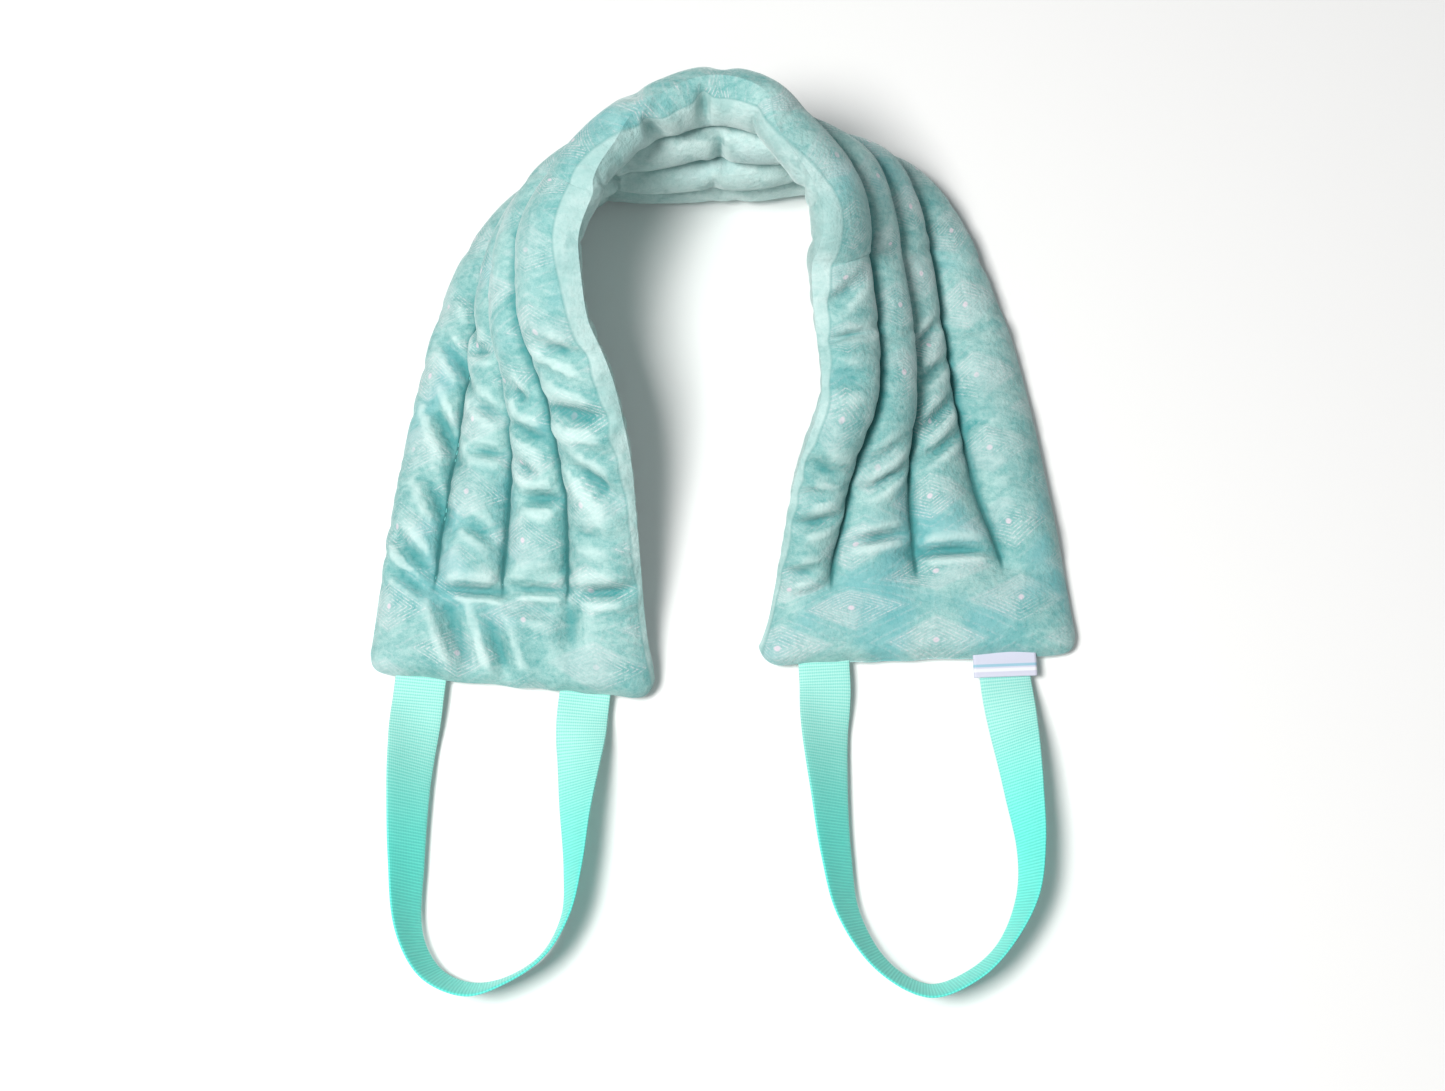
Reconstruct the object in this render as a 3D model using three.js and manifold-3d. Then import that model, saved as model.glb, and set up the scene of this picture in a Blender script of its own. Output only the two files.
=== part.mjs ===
// A grain-filled heated neck wrap lying on a table. A plush pad, printed on the outside and plain on the
// neck side, is sewn into four long channels and arched round the place of the neck: its crown stands on
// the outer edge and its two ends lie down flat. Each end seam holds a webbing handle, and one of them a
// folded ribbon label. Millimetres, +Z up; the origin is on the table under the middle of the whole piece.

import * as THREE from 'three';
import { mergeVertices } from 'three/addons/utils/BufferGeometryUtils.js';
import Module from 'manifold-3d';

const wasm = await Module();
wasm.setup();

// Pad
const archSpan = 348; // between the outer edges at the two hems
const archDepth = 261; // from the hems to the middle of the crown
const padWidth = 154; // sewn and lying flat, outer edge to neck edge
const channelCount = 4;
const channelRise = 11; // swell of a filled channel to each side of the seam surface
const endRise = 8.5; // swell of the unstitched ends to each side
const seamCloth = 1.6; // one face pinched down at a channel's stitching
const edgeCloth = 3.2; // one face, turned in double, at the edges and hems
const stitchEnd = 50; // from the hem to where the channel stitching stops
const stitchFade = 22; // length over which the channels rise out of the flat end
const hemRoll = 15; // length over which a face rounds down to the hem
const settle = 1.3; // how far the filling gives where the pad rests on the table
const fit = 0.3; // clearance between neighbouring pieces

// Handles
const webbingWidth = 25;
const webbingThickness = 1.6;
const handleReach = 158; // from the hem to the far end of the loop
const handleTail = 12; // sewn into the hem
const handleLevel = 12; // length that leaves the hem level
const handleClear = 5.5; // height of the loop's inner edge above the table

// Label
const labelWidth = 31;
const labelReach = 10;
const labelTail = 7;
const ribbonThickness = 0.45;

// Fineness of the surfaces
const alongSteps = 78;
const stepsPerChannel = 5;
const seamStepsAcross = 8;
const sectionSteps = 48;
const webbingSteps = 46;

// The pad from the left hem to the right hem. x is a share of half the arch's span and y a share of its
// depth, for the outer edge. swing and neckSwing turn the section from square to that edge, at its foot and
// at the neck edge. outer, lower, upper and neck are the channels' tilts in degrees from level. spread is
// the filled width as a share of the sewn width, rim the outer channel's share of it and neckRim the neck
// channel's. roll is how much further the neck channel reaches, in mm, where the plain cloth rolls over the
// neck edge.
const stationColumns = [
  'along', 'x', 'y', 'swing', 'neckSwing', 'outer', 'lower', 'upper', 'neck', 'spread', 'rim', 'neckRim',
  'roll',
];
const stations = [
  [0.0, -1.0, -0.015, 0, 0, 3, 0, 0, 3, 0.9, 0.25, 0.265, 2],
  [0.06, -0.975, 0.15, 0, 0, 20, 3, 5, 15, 0.86, 0.235, 0.265, 3],
  [0.12, -0.94, 0.32, 0, 0, 25, 8, 25, 30, 0.845, 0.235, 0.265, 4],
  [0.18, -0.9, 0.485, 0, 0, 22, 28, 52, 32, 0.83, 0.24, 0.265, 8],
  [0.24, -0.843, 0.65, 2, 2, 32, 55, 72, 34, 0.82, 0.245, 0.265, 9],
  [0.3, -0.744, 0.796, 8, 8, 55, 64, 78, 42, 0.83, 0.25, 0.265, 9],
  [0.36, -0.582, 0.918, 12, 12, 68, 72, 74, 50, 0.832, 0.25, 0.265, 7],
  [0.42, -0.362, 0.98, 8, 12, 72, 80, 84, 66, 0.825, 0.25, 0.265, 4],
  [0.46, -0.2, 0.995, 0, 6, 66, 86, 94, 92, 0.82, 0.25, 0.265, 3],
  [0.5, -0.03, 1.0, 0, 0, 64, 92, 98, 102, 0.82, 0.25, 0.265, 1],
  [0.54, 0.144, 1.0, -24, -30, 66, 86, 92, 94, 0.82, 0.25, 0.265, 3],
  [0.58, 0.322, 0.992, -55, -38, 78, 74, 72, 66, 0.82, 0.25, 0.265, 4],
  [0.62, 0.497, 0.976, -45, -15, 76, 62, 56, 52, 0.835, 0.255, 0.265, 6],
  [0.66, 0.624, 0.932, -22, 0, 58, 50, 58, 50, 0.84, 0.26, 0.265, 8],
  [0.7, 0.724, 0.852, -6, 4, 36, 44, 58, 40, 0.82, 0.27, 0.255, 8],
  [0.76, 0.825, 0.69, 0, 0, 12, 44, 58, 30, 0.823, 0.3, 0.235, 6],
  [0.82, 0.886, 0.521, 0, 0, 6, 36, 54, 28, 0.836, 0.31, 0.21, 4],
  [0.88, 0.93, 0.36, 0, 0, 5, 10, 18, 25, 0.86, 0.285, 0.195, 4],
  [0.94, 0.972, 0.19, -3, -3, 5, 2, 2, 10, 0.92, 0.225, 0.17, 3],
  [1.0, 1.005, 0.02, -5, -5, 2, 0, 0, 2, 1.0, 0.27, 0.265, 2],
].map((row) => Object.fromEntries(stationColumns.map((name, i) => [name, row[i]])));

// Creases and gathers pressed into a face. along and across are the middle of each one. reach is half its
// length and spread half its width, as shares of a channel's sewn width, and depth is a share of the
// channels' rise. turn is its direction in degrees from the pad's length, towards the neck edge.
const folds = [
  { face: 'printed', along: 0.252, across: 0.29, reach: 0.4, spread: 0.18, depth: 0.27, turn: 140 },
  { face: 'printed', along: 0.17, across: 0.2, reach: 0.44, spread: 0.18, depth: 0.32, turn: 143 },
  { face: 'printed', along: 0.12, across: 0.22, reach: 0.32, spread: 0.16, depth: 0.27, turn: 144 },
  { face: 'printed', along: 0.082, across: 0.16, reach: 0.34, spread: 0.18, depth: 0.27, turn: 128 },
  { face: 'printed', along: 0.171, across: 0.45, reach: 0.2, spread: 0.16, depth: 0.22, turn: 90 },
  { face: 'printed', along: 0.104, across: 0.41, reach: 0.2, spread: 0.16, depth: 0.2, turn: 0 },
  { face: 'printed', along: 0.063, across: 0.4, reach: 0.6, spread: 0.16, depth: 0.27, turn: 88 },
  { face: 'printed', along: 0.07, across: 0.67, reach: 0.42, spread: 0.18, depth: 0.27, turn: 86 },
  { face: 'printed', along: 0.129, across: 0.67, reach: 0.16, spread: 0.2, depth: 0.27, turn: 90 },
  { face: 'printed', along: 0.22, across: 0.91, reach: 0.24, spread: 0.18, depth: 0.22, turn: 123 },
  { face: 'printed', along: 0.182, across: 0.87, reach: 0.4, spread: 0.2, depth: 0.38, turn: 100 },
  { face: 'printed', along: 0.139, across: 0.9, reach: 0.26, spread: 0.18, depth: 0.36, turn: 138 },
  { face: 'printed', along: 0.073, across: 0.91, reach: 0.34, spread: 0.18, depth: 0.27, turn: 84 },
  { face: 'printed', along: 0.03, across: 0.38, reach: 0.4, spread: 0.16, depth: 0.24, turn: 155 },
  { face: 'printed', along: 0.02, across: 0.57, reach: 0.25, spread: 0.16, depth: 0.2, turn: 153 },
  { face: 'printed', along: 0.05, across: 0.76, reach: 0.22, spread: 0.2, depth: 0.22, turn: 0 },
  { face: 'printed', along: 0.455, across: 0.95, reach: 0.2, spread: 0.2, depth: 0.4, turn: 90 },
  { face: 'printed', along: 0.505, across: 0.95, reach: 0.2, spread: 0.18, depth: 0.35, turn: 90 },
  { face: 'printed', along: 0.734, across: 0.92, reach: 0.2, spread: 0.18, depth: 0.22, turn: -135 },
  { face: 'printed', along: 0.807, across: 0.94, reach: 0.2, spread: 0.18, depth: 0.22, turn: -90 },
  { face: 'printed', along: 0.855, across: 0.94, reach: 0.26, spread: 0.18, depth: 0.27, turn: -80 },
  { face: 'printed', along: 0.89, across: 0.93, reach: 0.26, spread: 0.18, depth: 0.25, turn: -95 },
  { face: 'printed', along: 0.905, across: 0.64, reach: 0.3, spread: 0.16, depth: 0.22, turn: -83 },
  { face: 'printed', along: 0.764, across: 0.55, reach: 0.5, spread: 0.18, depth: 0.22, turn: 58 },
  { face: 'printed', along: 0.823, across: 0.58, reach: 0.4, spread: 0.18, depth: 0.22, turn: -106 },
  { face: 'printed', along: 0.92, across: 0.42, reach: 0.34, spread: 0.16, depth: 0.27, turn: -82 },
  { face: 'plain', along: 0.493, across: 0.92, reach: 0.28, spread: 0.15, depth: 0.36, turn: -90 },
  { face: 'plain', along: 0.455, across: 0.9, reach: 0.32, spread: 0.16, depth: 0.36, turn: -70 },
  { face: 'plain', along: 0.505, across: 0.61, reach: 0.36, spread: 0.14, depth: 0.27, turn: -85 },
  { face: 'plain', along: 0.41, across: 0.62, reach: 0.5, spread: 0.18, depth: 0.36, turn: -75 },
  { face: 'plain', along: 0.37, across: 0.85, reach: 0.36, spread: 0.18, depth: 0.3, turn: -90 },
  { face: 'plain', along: 0.57, across: 0.6, reach: 0.5, spread: 0.18, depth: 0.3, turn: 80 },
  { face: 'plain', along: 0.62, across: 0.88, reach: 0.3, spread: 0.18, depth: 0.27, turn: 90 },
];

// The handles, from the strand near the outer edge to the strand near the neck edge. across gives the two
// strands' places in the hem as shares of the pad's width. side is a share of half the strands' distance,
// out a share of the handle's reach, tilt the lean of the webbing in degrees, and drop runs from 0 at the
// hem's height to 1 where the inner edge hangs at its clear height.
const leftHandle = {
  across: [0.19, 0.785],
  loop: [
    { side: -0.99, out: 0.22, tilt: 28, drop: 0.7 },
    { side: -0.961, out: 0.345, tilt: 41, drop: 1 },
    { side: -0.864, out: 0.575, tilt: 54, drop: 1 },
    { side: -0.729, out: 0.78, tilt: 66, drop: 1 },
    { side: -0.42, out: 0.9, tilt: 69, drop: 1 },
    { side: 0.044, out: 0.94, tilt: 71, drop: 1 },
    { side: 0.498, out: 0.9, tilt: 79, drop: 1 },
    { side: 0.884, out: 0.815, tilt: 81, drop: 1 },
    { side: 1.087, out: 0.69, tilt: 78, drop: 1 },
    { side: 1.106, out: 0.55, tilt: 68, drop: 1 },
    { side: 1.06, out: 0.38, tilt: 53, drop: 1 },
    { side: 1.03, out: 0.22, tilt: 32, drop: 0.7 },
  ],
};
const rightHandle = {
  across: [0.22, 0.82],
  loop: [
    { side: -1.04, out: 0.2, tilt: 22, drop: 0.6 },
    { side: -1.07, out: 0.3, tilt: 36, drop: 0.95 },
    { side: -1.1, out: 0.42, tilt: 48, drop: 1 },
    { side: -1.13, out: 0.6, tilt: 64, drop: 1 },
    { side: -1.05, out: 0.75, tilt: 71, drop: 1 },
    { side: -0.78, out: 0.89, tilt: 78, drop: 1 },
    { side: -0.41, out: 0.98, tilt: 75, drop: 1 },
    { side: 0.07, out: 1.02, tilt: 71, drop: 1 },
    { side: 0.55, out: 0.94, tilt: 69, drop: 1 },
    { side: 0.88, out: 0.78, tilt: 62, drop: 1 },
    { side: 0.98, out: 0.6, tilt: 53, drop: 1 },
    { side: 1.02, out: 0.4, tilt: 43, drop: 1 },
    { side: 1.03, out: 0.22, tilt: 26, drop: 0.7 },
  ],
};
const labelAcross = 0.22; // the label's place in the right hem

const lerp = THREE.MathUtils.lerp;
const smoothstep = THREE.MathUtils.smoothstep;
const degToRad = THREE.MathUtils.degToRad;

// One column of a table as a smooth function: a cubic through the rows, with slopes taken from their
// neighbours.
function column(rows, key, at = 'along') {
  const slope = (i) => {
    const before = rows[Math.max(i - 1, 0)];
    const after = rows[Math.min(i + 1, rows.length - 1)];
    return (after[key] - before[key]) / (after[at] - before[at]);
  };
  return (t) => {
    let i = 0;
    while (i < rows.length - 2 && t > rows[i + 1][at]) i++;
    const span = rows[i + 1][at] - rows[i][at];
    const u = THREE.MathUtils.clamp((t - rows[i][at]) / span, 0, 1);
    const u2 = u * u;
    const u3 = u2 * u;
    return (
      (2 * u3 - 3 * u2 + 1) * rows[i][key] +
      (u3 - 2 * u2 + u) * span * slope(i) +
      (3 * u2 - 2 * u3) * rows[i + 1][key] +
      (u3 - u2) * span * slope(i + 1)
    );
  };
}

const edgeX = column(stations, 'x');
const edgeY = column(stations, 'y');
const spreadAt = column(stations, 'spread');
const swingAt = column(stations, 'swing');
const neckSwingAt = column(stations, 'neckSwing');
const rimAt = column(stations, 'rim');
const neckRimAt = column(stations, 'neckRim');
const rollAt = column(stations, 'roll');
const tiltColumns = ['outer', 'lower', 'upper', 'neck'].map((key) => column(stations, key));

const outerEdge = (along) =>
  new THREE.Vector2((edgeX(along) * archSpan) / 2, edgeY(along) * archDepth);

// Travel along the outer edge, by differences, as a unit vector.
function travelAt(along) {
  const step = 0.01;
  const before = outerEdge(Math.max(along - step, 0));
  return outerEdge(Math.min(along + step, 1)).sub(before).normalize();
}

const padLength = new Array(100)
  .fill(0)
  .reduce((sum, _, i) => sum + outerEdge(i / 100).distanceTo(outerEdge((i + 1) / 100)), 0);

// Half thickness of the pad before its hems are rounded: channels where it is stitched, one soft pillow at
// its ends.
function rise(along, across) {
  const fromHem = Math.min(along, 1 - along) * padLength;
  const stitched = smoothstep(fromHem, stitchEnd - stitchFade / 2, stitchEnd + stitchFade / 2);
  const inChannel = (across * channelCount) % 1;
  const bulge = Math.pow(Math.max(1 - (2 * inChannel - 1) ** 2, 0), 0.6);
  const nearEdge = Math.max(1 - Math.min(across, 1 - across) * channelCount * 2, 0);
  const base = lerp(seamCloth, edgeCloth, nearEdge);
  const channel = across === 1 ? edgeCloth : lerp(base, channelRise, bulge);
  const pillow = lerp(edgeCloth, endRise, Math.pow(Math.max(1 - (2 * across - 1) ** 6, 0), 0.5));
  return lerp(pillow, channel, stitched);
}

// Depth that the creases take from a face at one place.
function creased(face, along, across) {
  const channelWidth = padWidth / channelCount;
  return folds
    .filter((fold) => fold.face === face)
    .reduce((depth, fold) => {
      const turn = degToRad(fold.turn);
      const away = ((along - fold.along) * padLength) / channelWidth;
      const aside = (across - fold.across) * channelCount;
      const down = (away * Math.cos(turn) + aside * Math.sin(turn)) / fold.reach;
      const off = (aside * Math.cos(turn) - away * Math.sin(turn)) / fold.spread;
      return Math.max(depth, fold.depth * channelRise * Math.exp(-down * down - off * off));
    }, 0);
}

// Share of the rise left where a face rounds down to the hem, as a quarter of an ellipse.
function hemShare(along) {
  const fromHem = Math.min(along, 1 - along) * padLength;
  return Math.sqrt(1 - Math.max(1 - fromHem / hemRoll, 0) ** 2);
}

// The seam surface's section at one place along the pad: its point as a function of the place across it. The
// lowest point of the filled pad is at the table.
function sectionAt(along) {
  const travel = travelAt(along);
  const square = new THREE.Vector2(travel.y, -travel.x);
  const turnAt = (across) => degToRad(lerp(swingAt(along), neckSwingAt(along), across));
  const tiltRows = tiltColumns.map((tilt, i) => ({ across: (i + 0.5) / 4, tilt: tilt(along) }));
  const tiltAcross = column(tiltRows, 'tilt', 'across');
  const middleShare = (1 - rimAt(along) - neckRimAt(along)) / (channelCount - 2);
  const shares = [rimAt(along), middleShare, middleShare, neckRimAt(along)];
  const foot = outerEdge(along);
  const points = [new THREE.Vector3(foot.x, foot.y, 0)];
  let lowest = -edgeCloth;
  for (let i = 0; i < sectionSteps; i++) {
    const across = (i + 0.5) / sectionSteps;
    const channel = Math.floor(across * channelCount);
    const roll = channel === channelCount - 1 ? rollAt(along) : 0;
    const channelWidth = padWidth * spreadAt(along) * shares[channel] + roll;
    const step = (channelWidth * channelCount) / sectionSteps;
    const tilt = degToRad(tiltAcross(across));
    const heading = square.clone().rotateAround(new THREE.Vector2(), turnAt(across));
    heading.multiplyScalar(step * Math.cos(tilt));
    const next = points[i].clone();
    next.add(new THREE.Vector3(heading.x, heading.y, step * Math.sin(tilt)));
    lowest = Math.min(lowest, (points[i].z + next.z) / 2 - Math.cos(tilt) * rise(along, across));
    points.push(next);
  }
  const drop = lowest + settle;
  return (across) => {
    const i = Math.min(Math.floor(across * sectionSteps), sectionSteps - 1);
    const point = points[i].clone().lerp(points[i + 1], across * sectionSteps - i);
    return point.setZ(point.z - drop);
  };
}

// The seam surface at one place along the pad, as a function of the place across it that gives the point and
// the unit vector out of the printed face. The vector is square to the surface by differences both ways.
function surfaceAt(along) {
  const step = 0.5 / sectionSteps;
  const here = sectionAt(along);
  const behind = sectionAt(Math.max(along - step, 0));
  const ahead = sectionAt(Math.min(along + step, 1));
  return (across) => {
    const lengthwise = ahead(across).sub(behind(across));
    const crosswise = here(Math.min(across + step, 1)).sub(here(Math.max(across - step, 0)));
    return { point: here(across), normal: crosswise.cross(lengthwise).normalize() };
  };
}

// Places along the pad, closer together where the hems round off.
function alongPlaces() {
  const hem = [0, 0.12, 0.35, 0.65, 1].map((share) => (share * hemRoll) / padLength);
  const first = hem[hem.length - 1];
  const places = [...hem];
  for (let i = 1; i < alongSteps; i++) places.push(lerp(first, 1 - first, i / alongSteps));
  return places.concat(hem.map((place) => 1 - place).reverse());
}

// Places across the pad, closer together at the seams between channels.
function acrossPlaces() {
  const places = [0];
  for (let channel = 0; channel < channelCount; channel++)
    for (let i = 1; i <= stepsPerChannel; i++)
      places.push((channel + (1 - Math.cos((Math.PI * i) / stepsPerChannel)) / 2) / channelCount);
  return places;
}

const pressed = (point) => point.setZ(Math.max(point.z, 0));

// One face of the pad with its half of the filling: side is 1 for the printed face and -1 for the plain
// one. An outer surface, the seam surface behind it and a narrow wall round both close the solid.
function padFace(side) {
  const face = side > 0 ? 'printed' : 'plain';
  const along = alongPlaces();
  const across = acrossPlaces();
  const seamAcross = Array.from({ length: seamStepsAcross + 1 }, (_, i) => i / seamStepsAcross);
  const positions = [];
  const index = [];
  const put = (point) => positions.push(...point.toArray()) / 3 - 1;
  const triangle = (a, b, c) => (side > 0 ? index.push(a, b, c) : index.push(a, c, b));

  const outer = [];
  const seam = [];
  for (const place of along) {
    const surface = surfaceAt(place);
    const round = hemShare(place);
    outer.push(
      across.map((w) => {
        const { point, normal } = surface(w);
        const filled = Math.max(rise(place, w) - creased(face, place, w), seamCloth);
        const swell = lerp(edgeCloth, filled, round);
        return put(pressed(point.addScaledVector(normal, side * swell)));
      }),
    );
    seam.push(
      seamAcross.map((w) => {
        const { point, normal } = surface(w);
        return put(pressed(point.addScaledVector(normal, (side * fit) / 2)));
      }),
    );
  }

  const quad = (a, b, c, d) => {
    triangle(a, b, c);
    triangle(a, c, d);
  };
  const last = across.length - 1;
  const seamLast = seamAcross.length - 1;
  for (let i = 0; i < along.length - 1; i++) {
    for (let j = 0; j < last; j++)
      quad(outer[i][j], outer[i][j + 1], outer[i + 1][j + 1], outer[i + 1][j]);
    for (let j = 0; j < seamLast; j++)
      quad(seam[i][j], seam[i + 1][j], seam[i + 1][j + 1], seam[i][j + 1]);
    quad(seam[i][0], outer[i][0], outer[i + 1][0], seam[i + 1][0]);
    quad(seam[i][seamLast], seam[i + 1][seamLast], outer[i + 1][last], outer[i][last]);
  }

  // A hem's wall joins two rows with different numbers of points.
  const hemWall = (seamRow, outerRow, turn) => {
    const facing = (a, b, c) => (turn > 0 ? triangle(a, b, c) : triangle(a, c, b));
    let j = 0;
    let k = 0;
    while (j < last || k < seamLast) {
      if (k < seamLast && (j === last || seamAcross[k + 1] <= across[j + 1])) {
        facing(seamRow[k], seamRow[k + 1], outerRow[j]);
        k++;
      } else {
        facing(seamRow[k], outerRow[j + 1], outerRow[j]);
        j++;
      }
    }
  };
  hemWall(seam[0], outer[0], 1);
  hemWall(seam[along.length - 1], outer[along.length - 1], -1);

  const geometry = new THREE.BufferGeometry();
  geometry.setAttribute('position', new THREE.Float32BufferAttribute(positions, 3));
  geometry.setIndex(index);
  return geometry;
}

// A band of webbing through stations that each give a centre and the direction of its width. grow makes it
// larger all round, for the pocket that it lies in.
function band(rows, grow = 0) {
  const halfWidth = webbingWidth / 2 + grow;
  const halfThickness = webbingThickness / 2 + grow;
  const centres = new THREE.CatmullRomCurve3(rows.map((row) => row.centre), false, 'centripetal');
  const widths = new THREE.CatmullRomCurve3(rows.map((row) => row.across), false, 'catmullrom');
  const positions = [];
  const index = [];
  for (let i = 0; i <= webbingSteps; i++) {
    const centre = centres.getPoint(i / webbingSteps);
    const travel = centres.getTangent(i / webbingSteps);
    const across = widths.getPoint(i / webbingSteps);
    across.addScaledVector(travel, -across.dot(travel)).normalize();
    const normal = new THREE.Vector3().crossVectors(travel, across);
    if (i === 0) centre.addScaledVector(travel, -grow);
    if (i === webbingSteps) centre.addScaledVector(travel, grow);
    for (const [w, t] of [[-1, -1], [1, -1], [1, 1], [-1, 1]]) {
      const corner = centre.clone();
      corner.addScaledVector(across, w * halfWidth).addScaledVector(normal, t * halfThickness);
      positions.push(...corner.toArray());
    }
  }
  const quad = (a, b, c, d) => index.push(a, b, c, a, c, d);
  for (let i = 0; i < webbingSteps; i++)
    for (let j = 0; j < 4; j++) {
      const next = (j + 1) % 4;
      quad(4 * i + j, 4 * i + next, 4 * (i + 1) + next, 4 * (i + 1) + j);
    }
  quad(3, 2, 1, 0);
  const end = 4 * webbingSteps;
  quad(end, end + 1, end + 2, end + 3);
  const geometry = new THREE.BufferGeometry();
  geometry.setAttribute('position', new THREE.Float32BufferAttribute(positions, 3));
  geometry.setIndex(index);
  return geometry;
}

// A place in an end seam: end is 0 for the left hem and 1 for the right.
const hemPlace = (end, across) => sectionAt(end)(across);

// The directions at a hem: out, away from the pad, and side, towards the neck edge.
function hemFrame(end, [outerStrand, neckStrand]) {
  const first = hemPlace(end, outerStrand);
  const second = hemPlace(end, neckStrand);
  const origin = first.clone().lerp(second, 0.5);
  const half = first.distanceTo(second) / 2;
  const side = second.clone().sub(first).setZ(0).normalize();
  const travel = travelAt(end);
  const out = new THREE.Vector3(travel.x, travel.y, 0).multiplyScalar(end === 0 ? -1 : 1);
  out.addScaledVector(side, -out.dot(side)).normalize();
  return { origin, half, side, out };
}

// The stations of a handle, tail to tail.
function handleRows(end, { across, loop }) {
  const { origin, half, side, out } = hemFrame(end, across);
  const at = (row) =>
    origin
      .clone()
      .addScaledVector(side, row.side * half)
      .addScaledVector(out, row.out * handleReach);
  const tail = (strand, sense) =>
    [-handleTail, 0, handleLevel].map((reach) => ({
      centre: hemPlace(end, across[strand]).addScaledVector(out, reach),
      across: side.clone().multiplyScalar(sense),
    }));
  const middle = loop.map((row, i) => {
    const ahead = loop[Math.min(i + 1, loop.length - 1)];
    const behind = loop[Math.max(i - 1, 0)];
    const travel = at(ahead).sub(at(behind)).setZ(0).normalize();
    const away = side
      .clone()
      .multiplyScalar(-travel.dot(out))
      .addScaledVector(out, travel.dot(side));
    const tilt = degToRad(row.tilt);
    const low = handleClear + (Math.sin(tilt) * webbingWidth) / 2;
    const centre = at(row);
    centre.z = lerp(origin.z, low, row.drop);
    return {
      centre,
      across: away.multiplyScalar(Math.cos(tilt)).setZ(Math.sin(tilt)),
    };
  });
  return [...tail(0, -1), ...middle, ...tail(1, 1).reverse()];
}

// The label's folded ribbon in profile: x runs out of the hem and y up. grow widens it for its pocket.
function labelProfile(reach, tail, grow) {
  const outer = (3 * ribbonThickness) / 2 + grow;
  const inner = ribbonThickness / 2;
  const shape = new THREE.Shape();
  shape.moveTo(-tail - grow, -outer);
  shape.lineTo(reach - outer, -outer);
  shape.absarc(reach - outer, 0, outer, -Math.PI / 2, Math.PI / 2, false);
  shape.lineTo(-tail - grow, outer);
  if (grow === 0) {
    shape.lineTo(-tail, inner);
    shape.absarc(reach - outer, 0, inner, Math.PI / 2, -Math.PI / 2, true);
    shape.lineTo(-tail, -inner);
  }
  shape.closePath();
  return shape;
}

// The ribbon laid on the webbing's upper face, in the printed side of the seam.
function labelGeometry(grow) {
  const { side, out } = hemFrame(1, rightHandle.across);
  const width = labelWidth + 2 * grow;
  const geometry = new THREE.ExtrudeGeometry(labelProfile(labelReach, labelTail, grow), {
    depth: width,
    bevelEnabled: false,
    curveSegments: 6,
  });
  geometry.translate(0, 0, -width / 2);
  const up = new THREE.Vector3(0, 0, 1);
  const place = hemPlace(1, labelAcross);
  place.z += webbingThickness / 2 + fit + (3 * ribbonThickness) / 2;
  const frame = new THREE.Matrix4().makeBasis(out, up, new THREE.Vector3().crossVectors(out, up));
  return geometry.applyMatrix4(frame.setPosition(place));
}

// Manifold solids from geometries and back, for cutting the pockets in the hems.
function solidOf(geometry) {
  const bare = geometry.clone();
  bare.deleteAttribute('normal');
  bare.deleteAttribute('uv');
  const merged = mergeVertices(bare, 1e-4);
  return new wasm.Manifold(
    new wasm.Mesh({
      numProp: 3,
      vertProperties: merged.attributes.position.array,
      triVerts: new Uint32Array(merged.index.array),
    }),
  );
}

function geometryOf(solid) {
  const mesh = solid.getMesh();
  const geometry = new THREE.BufferGeometry();
  geometry.setAttribute('position', new THREE.BufferAttribute(mesh.vertProperties, 3));
  geometry.setIndex(new THREE.BufferAttribute(mesh.triVerts, 1));
  return geometry;
}

const leftRows = handleRows(0, leftHandle);
const rightRows = handleRows(1, rightHandle);

// The pockets follow the webbing and the label with their clearance all round.
const pockets = [leftRows, rightRows]
  .map((rows) => solidOf(band(rows, fit)))
  .concat(solidOf(labelGeometry(fit)))
  .reduce((sum, solid) => sum.add(solid));

const material = (color, roughness) => new THREE.MeshStandardMaterial({ color, roughness, metalness: 0 });
const printedPlush = material('#86c9c4', 0.9);
const plainPlush = material('#bfe3de', 0.95);
const webbing = material('#74e0c8', 0.7);
const ribbon = material('#d9d8e6', 0.5);

function named(name, geometry, finish) {
  geometry.computeVertexNormals();
  const mesh = new THREE.Mesh(geometry, finish);
  mesh.name = name;
  return mesh;
}

const wrap = new THREE.Group();
wrap.add(
  named('printed_face', geometryOf(solidOf(padFace(1)).subtract(pockets)), printedPlush),
  named('plain_face', geometryOf(solidOf(padFace(-1)).subtract(pockets)), plainPlush),
  named('handle_left', band(leftRows), webbing),
  named('handle_right', band(rightRows), webbing),
  named('ribbon_label', labelGeometry(0), ribbon),
);

// The origin goes under the middle of the whole piece, on the table.
const bounds = new THREE.Box3().setFromObject(wrap);
wrap.position.set(-(bounds.min.x + bounds.max.x) / 2, -(bounds.min.y + bounds.max.y) / 2, -bounds.min.z);

export default wrap;
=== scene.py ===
import bpy
import numpy as np
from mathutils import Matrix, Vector


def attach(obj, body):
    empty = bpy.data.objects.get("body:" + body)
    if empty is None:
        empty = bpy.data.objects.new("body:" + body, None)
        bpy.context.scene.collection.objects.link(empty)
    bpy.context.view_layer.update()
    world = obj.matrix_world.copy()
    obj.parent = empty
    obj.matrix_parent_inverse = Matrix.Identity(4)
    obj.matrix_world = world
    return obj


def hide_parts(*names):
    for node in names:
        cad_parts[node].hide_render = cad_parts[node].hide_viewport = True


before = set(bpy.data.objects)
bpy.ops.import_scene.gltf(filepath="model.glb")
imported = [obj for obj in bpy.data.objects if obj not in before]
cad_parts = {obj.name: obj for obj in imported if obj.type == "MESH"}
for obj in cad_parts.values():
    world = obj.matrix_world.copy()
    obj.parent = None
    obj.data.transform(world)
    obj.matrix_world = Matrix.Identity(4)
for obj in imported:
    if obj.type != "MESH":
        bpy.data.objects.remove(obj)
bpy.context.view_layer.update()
scene = bpy.context.scene
lengthOf = np.linalg.norm
print("frame loaded")


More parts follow.
